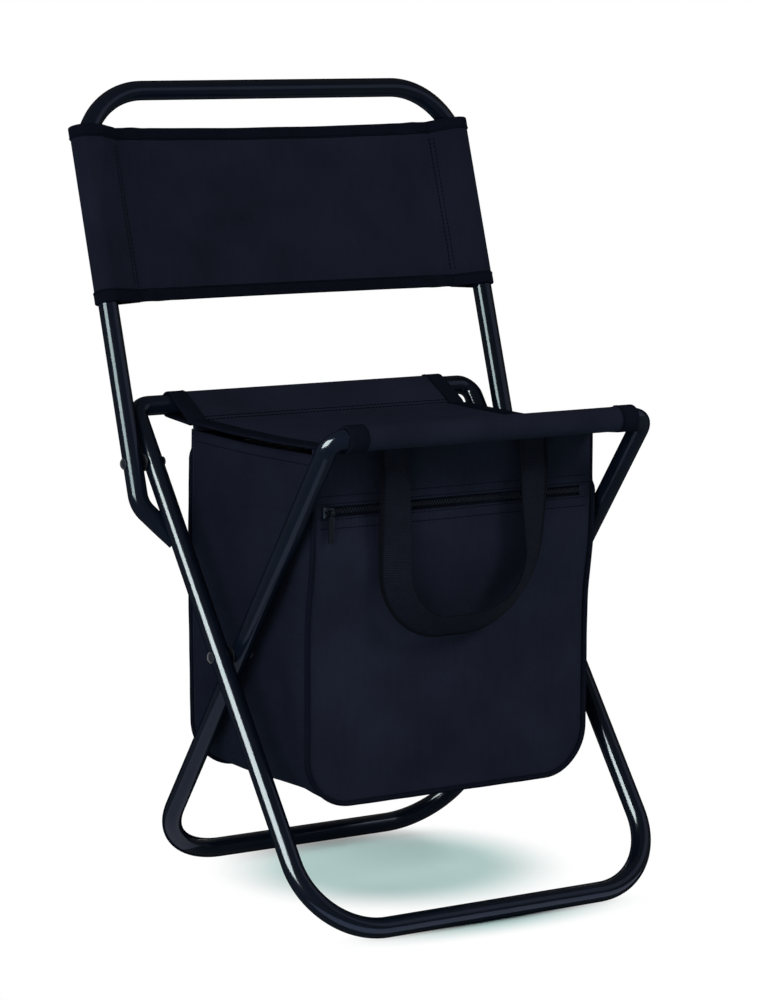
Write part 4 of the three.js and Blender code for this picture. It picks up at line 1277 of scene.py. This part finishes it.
# webbing that hangs as a U: its middle line runs down, round two bends of different radius and up
# again; the band's face turns from straight ahead towards the outside of the U, most at the bottom
def makeHandle(size):
    low, half, top = size["top"] - size["drop"], size["half"], size["top"]
    corners = [(-half, top, 0), (-half, low, 0), (half, low, 0), (half, top, 0)]
    line = roundedPath(corners, [size["leftRadius"], size["rightRadius"]], 3)[0][:, :2]
    line = resample(line, size["steps"])
    heading, run = headings(line), lengths(line)
    outward = together(heading[:, 1], 0, -heading[:, 0])
    share = 1 - np.abs(2 * run / run[-1] - 1)
    # the ends lie closer to the bag, to leave room under the seat sleeve as the handle swings up
    tuck = size["tuck"] * (1 - ease(np.minimum(run, run[-1] - run), 8, 30))
    path = together(line[:, 0], tuck - size["stand"], line[:, 1])
    twist = math.radians(size["twist"]) * ease(share, size["twistFrom"], size["twistTo"])
    cosine, sine = np.cos(twist)[:, None], np.sin(twist)[:, None]
    face, sideways = ahead * cosine + outward * sine, outward * cosine - ahead * sine
    path = path + face * (0.3 * np.sin(run / 17) * np.sin(np.pi * share / 2))[:, None]
    section = barSection(size["wall"], size["width"], 0.95)
    sweep = sweepPart(path, face, sideways, section)
    band = makePiece("carrying_handle", sweep, webbing)
    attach(band, "handle")
    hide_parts("front_handle")
    sewn = []
    for edge in (-1, 1):
        row = path + sideways * edge * (size["width"] / 2 - 2.6)
        for end in (slice(2, 14), slice(-14, -2)):
            sewn += stitchParts(row[end], face[end], size["wall"] / 2)
    marks = makePiece("carrying_handle_stitching", sewn, thread)
    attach(marks, "handle")
    return [band, marks]


handlePieces = makeHandle(handleSize)
print("zip and handle made")

# the bag's pieces go with the cooler; they, the slider, the pull and the handle get meshes of their
# own
bagPieces = [gusset, *faces, frontPiping, rearPiping, *liner, bagStitches, *zipPieces]
for piece in bagPieces:
    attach(piece, "cooler")
for piece in [*bagPieces, slider, pull, *handlePieces]:
    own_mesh(piece)

studio = {
    "shadeTintFloorColour": "#c9e6e2",
    "shadeMiddle": (0.023, 0.016),
    "shade": (0.07, 0.155),
    "footShade": (0.15, 0.045),
    "floorDepth": -0.0005,
    "floorReach": 12.0,
    "world": 0.2,
    "target": (0, -0.03, 0.3),
}


# 1 where the camera looks, directly, by reflection or through glass
def seenByCamera(tree):
    path = add(tree, "LightPath").outputs
    seen = path["Is Camera Ray"]
    for ray in ("Is Glossy Ray", "Is Transmission Ray"):
        seen = add(tree, "Math", {"operation": "MAXIMUM"}, {0: seen, 1: path[ray]})
    return seen


# white to the camera and to reflections, a plain grey light to everything else
def makeWorld():
    scene.world = bpy.data.worlds.new("studio")
    scene.world.use_nodes = True
    tree = scene.world.node_tree
    tree.nodes.clear()
    white = add(tree, "Background", {"Color": (1, 1, 1, 1), "Strength": 1.0})
    grey = add(tree, "Background", {"Color": (1, 1, 1, 1), "Strength": studio["world"]})
    mixed = add(tree, "MixShader", None, {0: seenByCamera(tree), 1: grey, 2: white})
    add(tree, "OutputWorld", None, {"Surface": mixed})


# pale floor that keeps the shadow under the stool and turns plain white to the camera further out,
# past the disc under the bag and the strip along the front foot bar
def makeFloor():
    material, tree, place = startMaterial("pale_floor")
    # the paint is teal, which gives the shadow under the stool a painted teal tint
    colour = linear(studio["shadeTintFloorColour"])
    even = {"Base Color": colour, "Roughness": 0.9, "Specular IOR Level": 0.0}
    paint = add(tree, "BsdfPrincipled", even)
    bar = (0, (shiftY - stool["footSpread"] / 2) * mm)
    low, high = studio["shade"]
    wide, deep = studio["footShade"]
    edges = []
    for middle, size, near, far in (
        (studio["shadeMiddle"], (1, 1), low, high),
        (bar, (1 / wide, 1 / deep), 0.1, 1),
    ):
        off = add(tree, "VectorMath", {"operation": "SUBTRACT", 1: (*middle, 0)}, {0: place})
        scaled = add(tree, "VectorMath", {"operation": "MULTIPLY", 1: (*size, 0)}, {0: off})
        away = add(tree, "VectorMath", {"operation": "LENGTH"}, {0: scaled}).outputs["Value"]
        fade = {"interpolation_type": "SMOOTHSTEP", "From Min": near, "From Max": far}
        edges.append(add(tree, "MapRange", fade, {"Value": away}))
    outside = add(tree, "Math", {"operation": "MINIMUM"}, {0: edges[0], 1: edges[1]})
    seen = {0: outside, 1: seenByCamera(tree)}
    share = add(tree, "Math", {"operation": "MULTIPLY"}, seen)
    white = add(tree, "Emission", {"Color": (1, 1, 1, 1), "Strength": 1.0})
    mixed = add(tree, "MixShader", None, {0: share, 1: paint, 2: white})
    add(tree, "OutputMaterial", None, {"Surface": mixed})
    mesh = bpy.data.meshes.new("floor")
    corners = [(-1, -1), (1, -1), (1, 1), (-1, 1)]
    reach = studio["floorReach"]
    mesh.from_pydata([(x * reach, y * reach, 0) for x, y in corners], [], [(0, 1, 2, 3)])
    mesh.materials.append(material)
    floor = bpy.data.objects.new("floor", mesh)
    floor.location = (0.0, 0.0, studio["floorDepth"])
    scene.collection.objects.link(floor)
    return floor


# an area lamp that lights only these objects, or everything but them, and is hidden from some rays
def softbox(
    name, view, size, power, colour, hidden, objects, leaveOut=False, target=studio["target"]
):
    data = bpy.data.lights.new(name, "AREA")
    data.shape, data.energy, data.color = "RECTANGLE", power, linear(colour)[:3]
    data.size, data.size_y = size
    lamp = aim(name, data, view, target)
    for ray in hidden:
        setattr(lamp, f"visible_{ray}", False)
    group = bpy.data.collections.new(f"{name}_objects")
    for item in objects:
        group.objects.link(item)
    lamp.light_linking.receiver_collection = group
    if leaveOut:
        for entry in group.collection_objects:
            entry.light_linking.link_state = "EXCLUDE"
    return lamp


makeWorld()
floor = makeFloor()
frames = [outerTube, innerTube]
tubes, seatAndBack = [*frames, backTube], [*backPieces, *seatPieces]
offKey = [floor, backTube, outerTube]
offSide, offFill = [floor, *liner, *seatAndBack], [floor, gusset, *backPieces]
matt, shiny = ("glossy",), ("diffuse",)  # hidden from reflections, and seen in reflections alone
# name, (azimuth, elevation, distance), size, watts, colour, hidden rays, objects, leaves them out
lamps = [
    ("floor_softbox", (20, 84, 1.9), (1.1, 1.1), 6.0, "#ffffff", (), [floor]),
    *[
        (f"floor_low_{turn}", (turn, 25, 2.0), (1.4, 0.8), 19.0, "#ffffff", (), [floor])
        for turn in (20, 110, 200, 290)
    ],
    ("key_softbox", (36, 34, 2.0), (0.6, 0.6), 22.0, "#ffffff", (), offKey, True),
    ("side_softbox", (-61, 14, 1.0), (0.7, 0.7), 6.3, "#f6f9ff", matt, offSide, True),
    ("front_fill", (-50, 30, 1.2), (0.8, 0.8), 3.5, "#ffffff", matt, offFill, True),
    ("rim_softbox", (-78, 14, 2.2), (0.9, 1.2), 31.0, "#f6f9ff", matt, seatAndBack),
    ("behind_softbox", (172, 6, 2.0), (1.2, 1.0), 30.0, "#ffffff", matt, [floor], True),
    # highlights along the tubes: bright from the left and behind, broad and dim from the right
    ("tube_streak_softbox", (-80, 24, 1.7), (1.3, 1.1), 1100.0, "#fcffee", shiny, frames),
    ("uprights_streak_softbox", (-80, 24, 1.7), (0.9, 1.1), 480.0, "#f4ffee", shiny, [backTube]),
    ("behind_streak_softbox", (145, 4, 1.7), (1.0, 0.7), 450.0, "#fcffee", shiny, tubes),
    ("tube_band_softbox", (50, 26, 1.8), (1.6, 1.0), 23.5, "#dde3ff", shiny, [*tubes, *rivets]),
]
for lamp in lamps:
    softbox(*lamp)
# pale cards that lie on the floor beside the legs and in front of the foot bar, and shine upwards
for label, size, power, tube, middle in (
    ("left", (0.24, 0.42), 1.55, innerTube, (-0.21, -0.09, 0.004)),
    ("front", (0.5, 0.285), 5.3, outerTube, (0.0, -0.325, -0.009)),
):
    hidden = ("camera", "diffuse")
    view, name = (0, 90, 0.01), f"floor_card_{label}"
    card = softbox(name, view, size, power, "#dde3ff", hidden, [tube], target=middle)
    card.rotation_quaternion = (0, 1, 0, 0)
print("studio set")
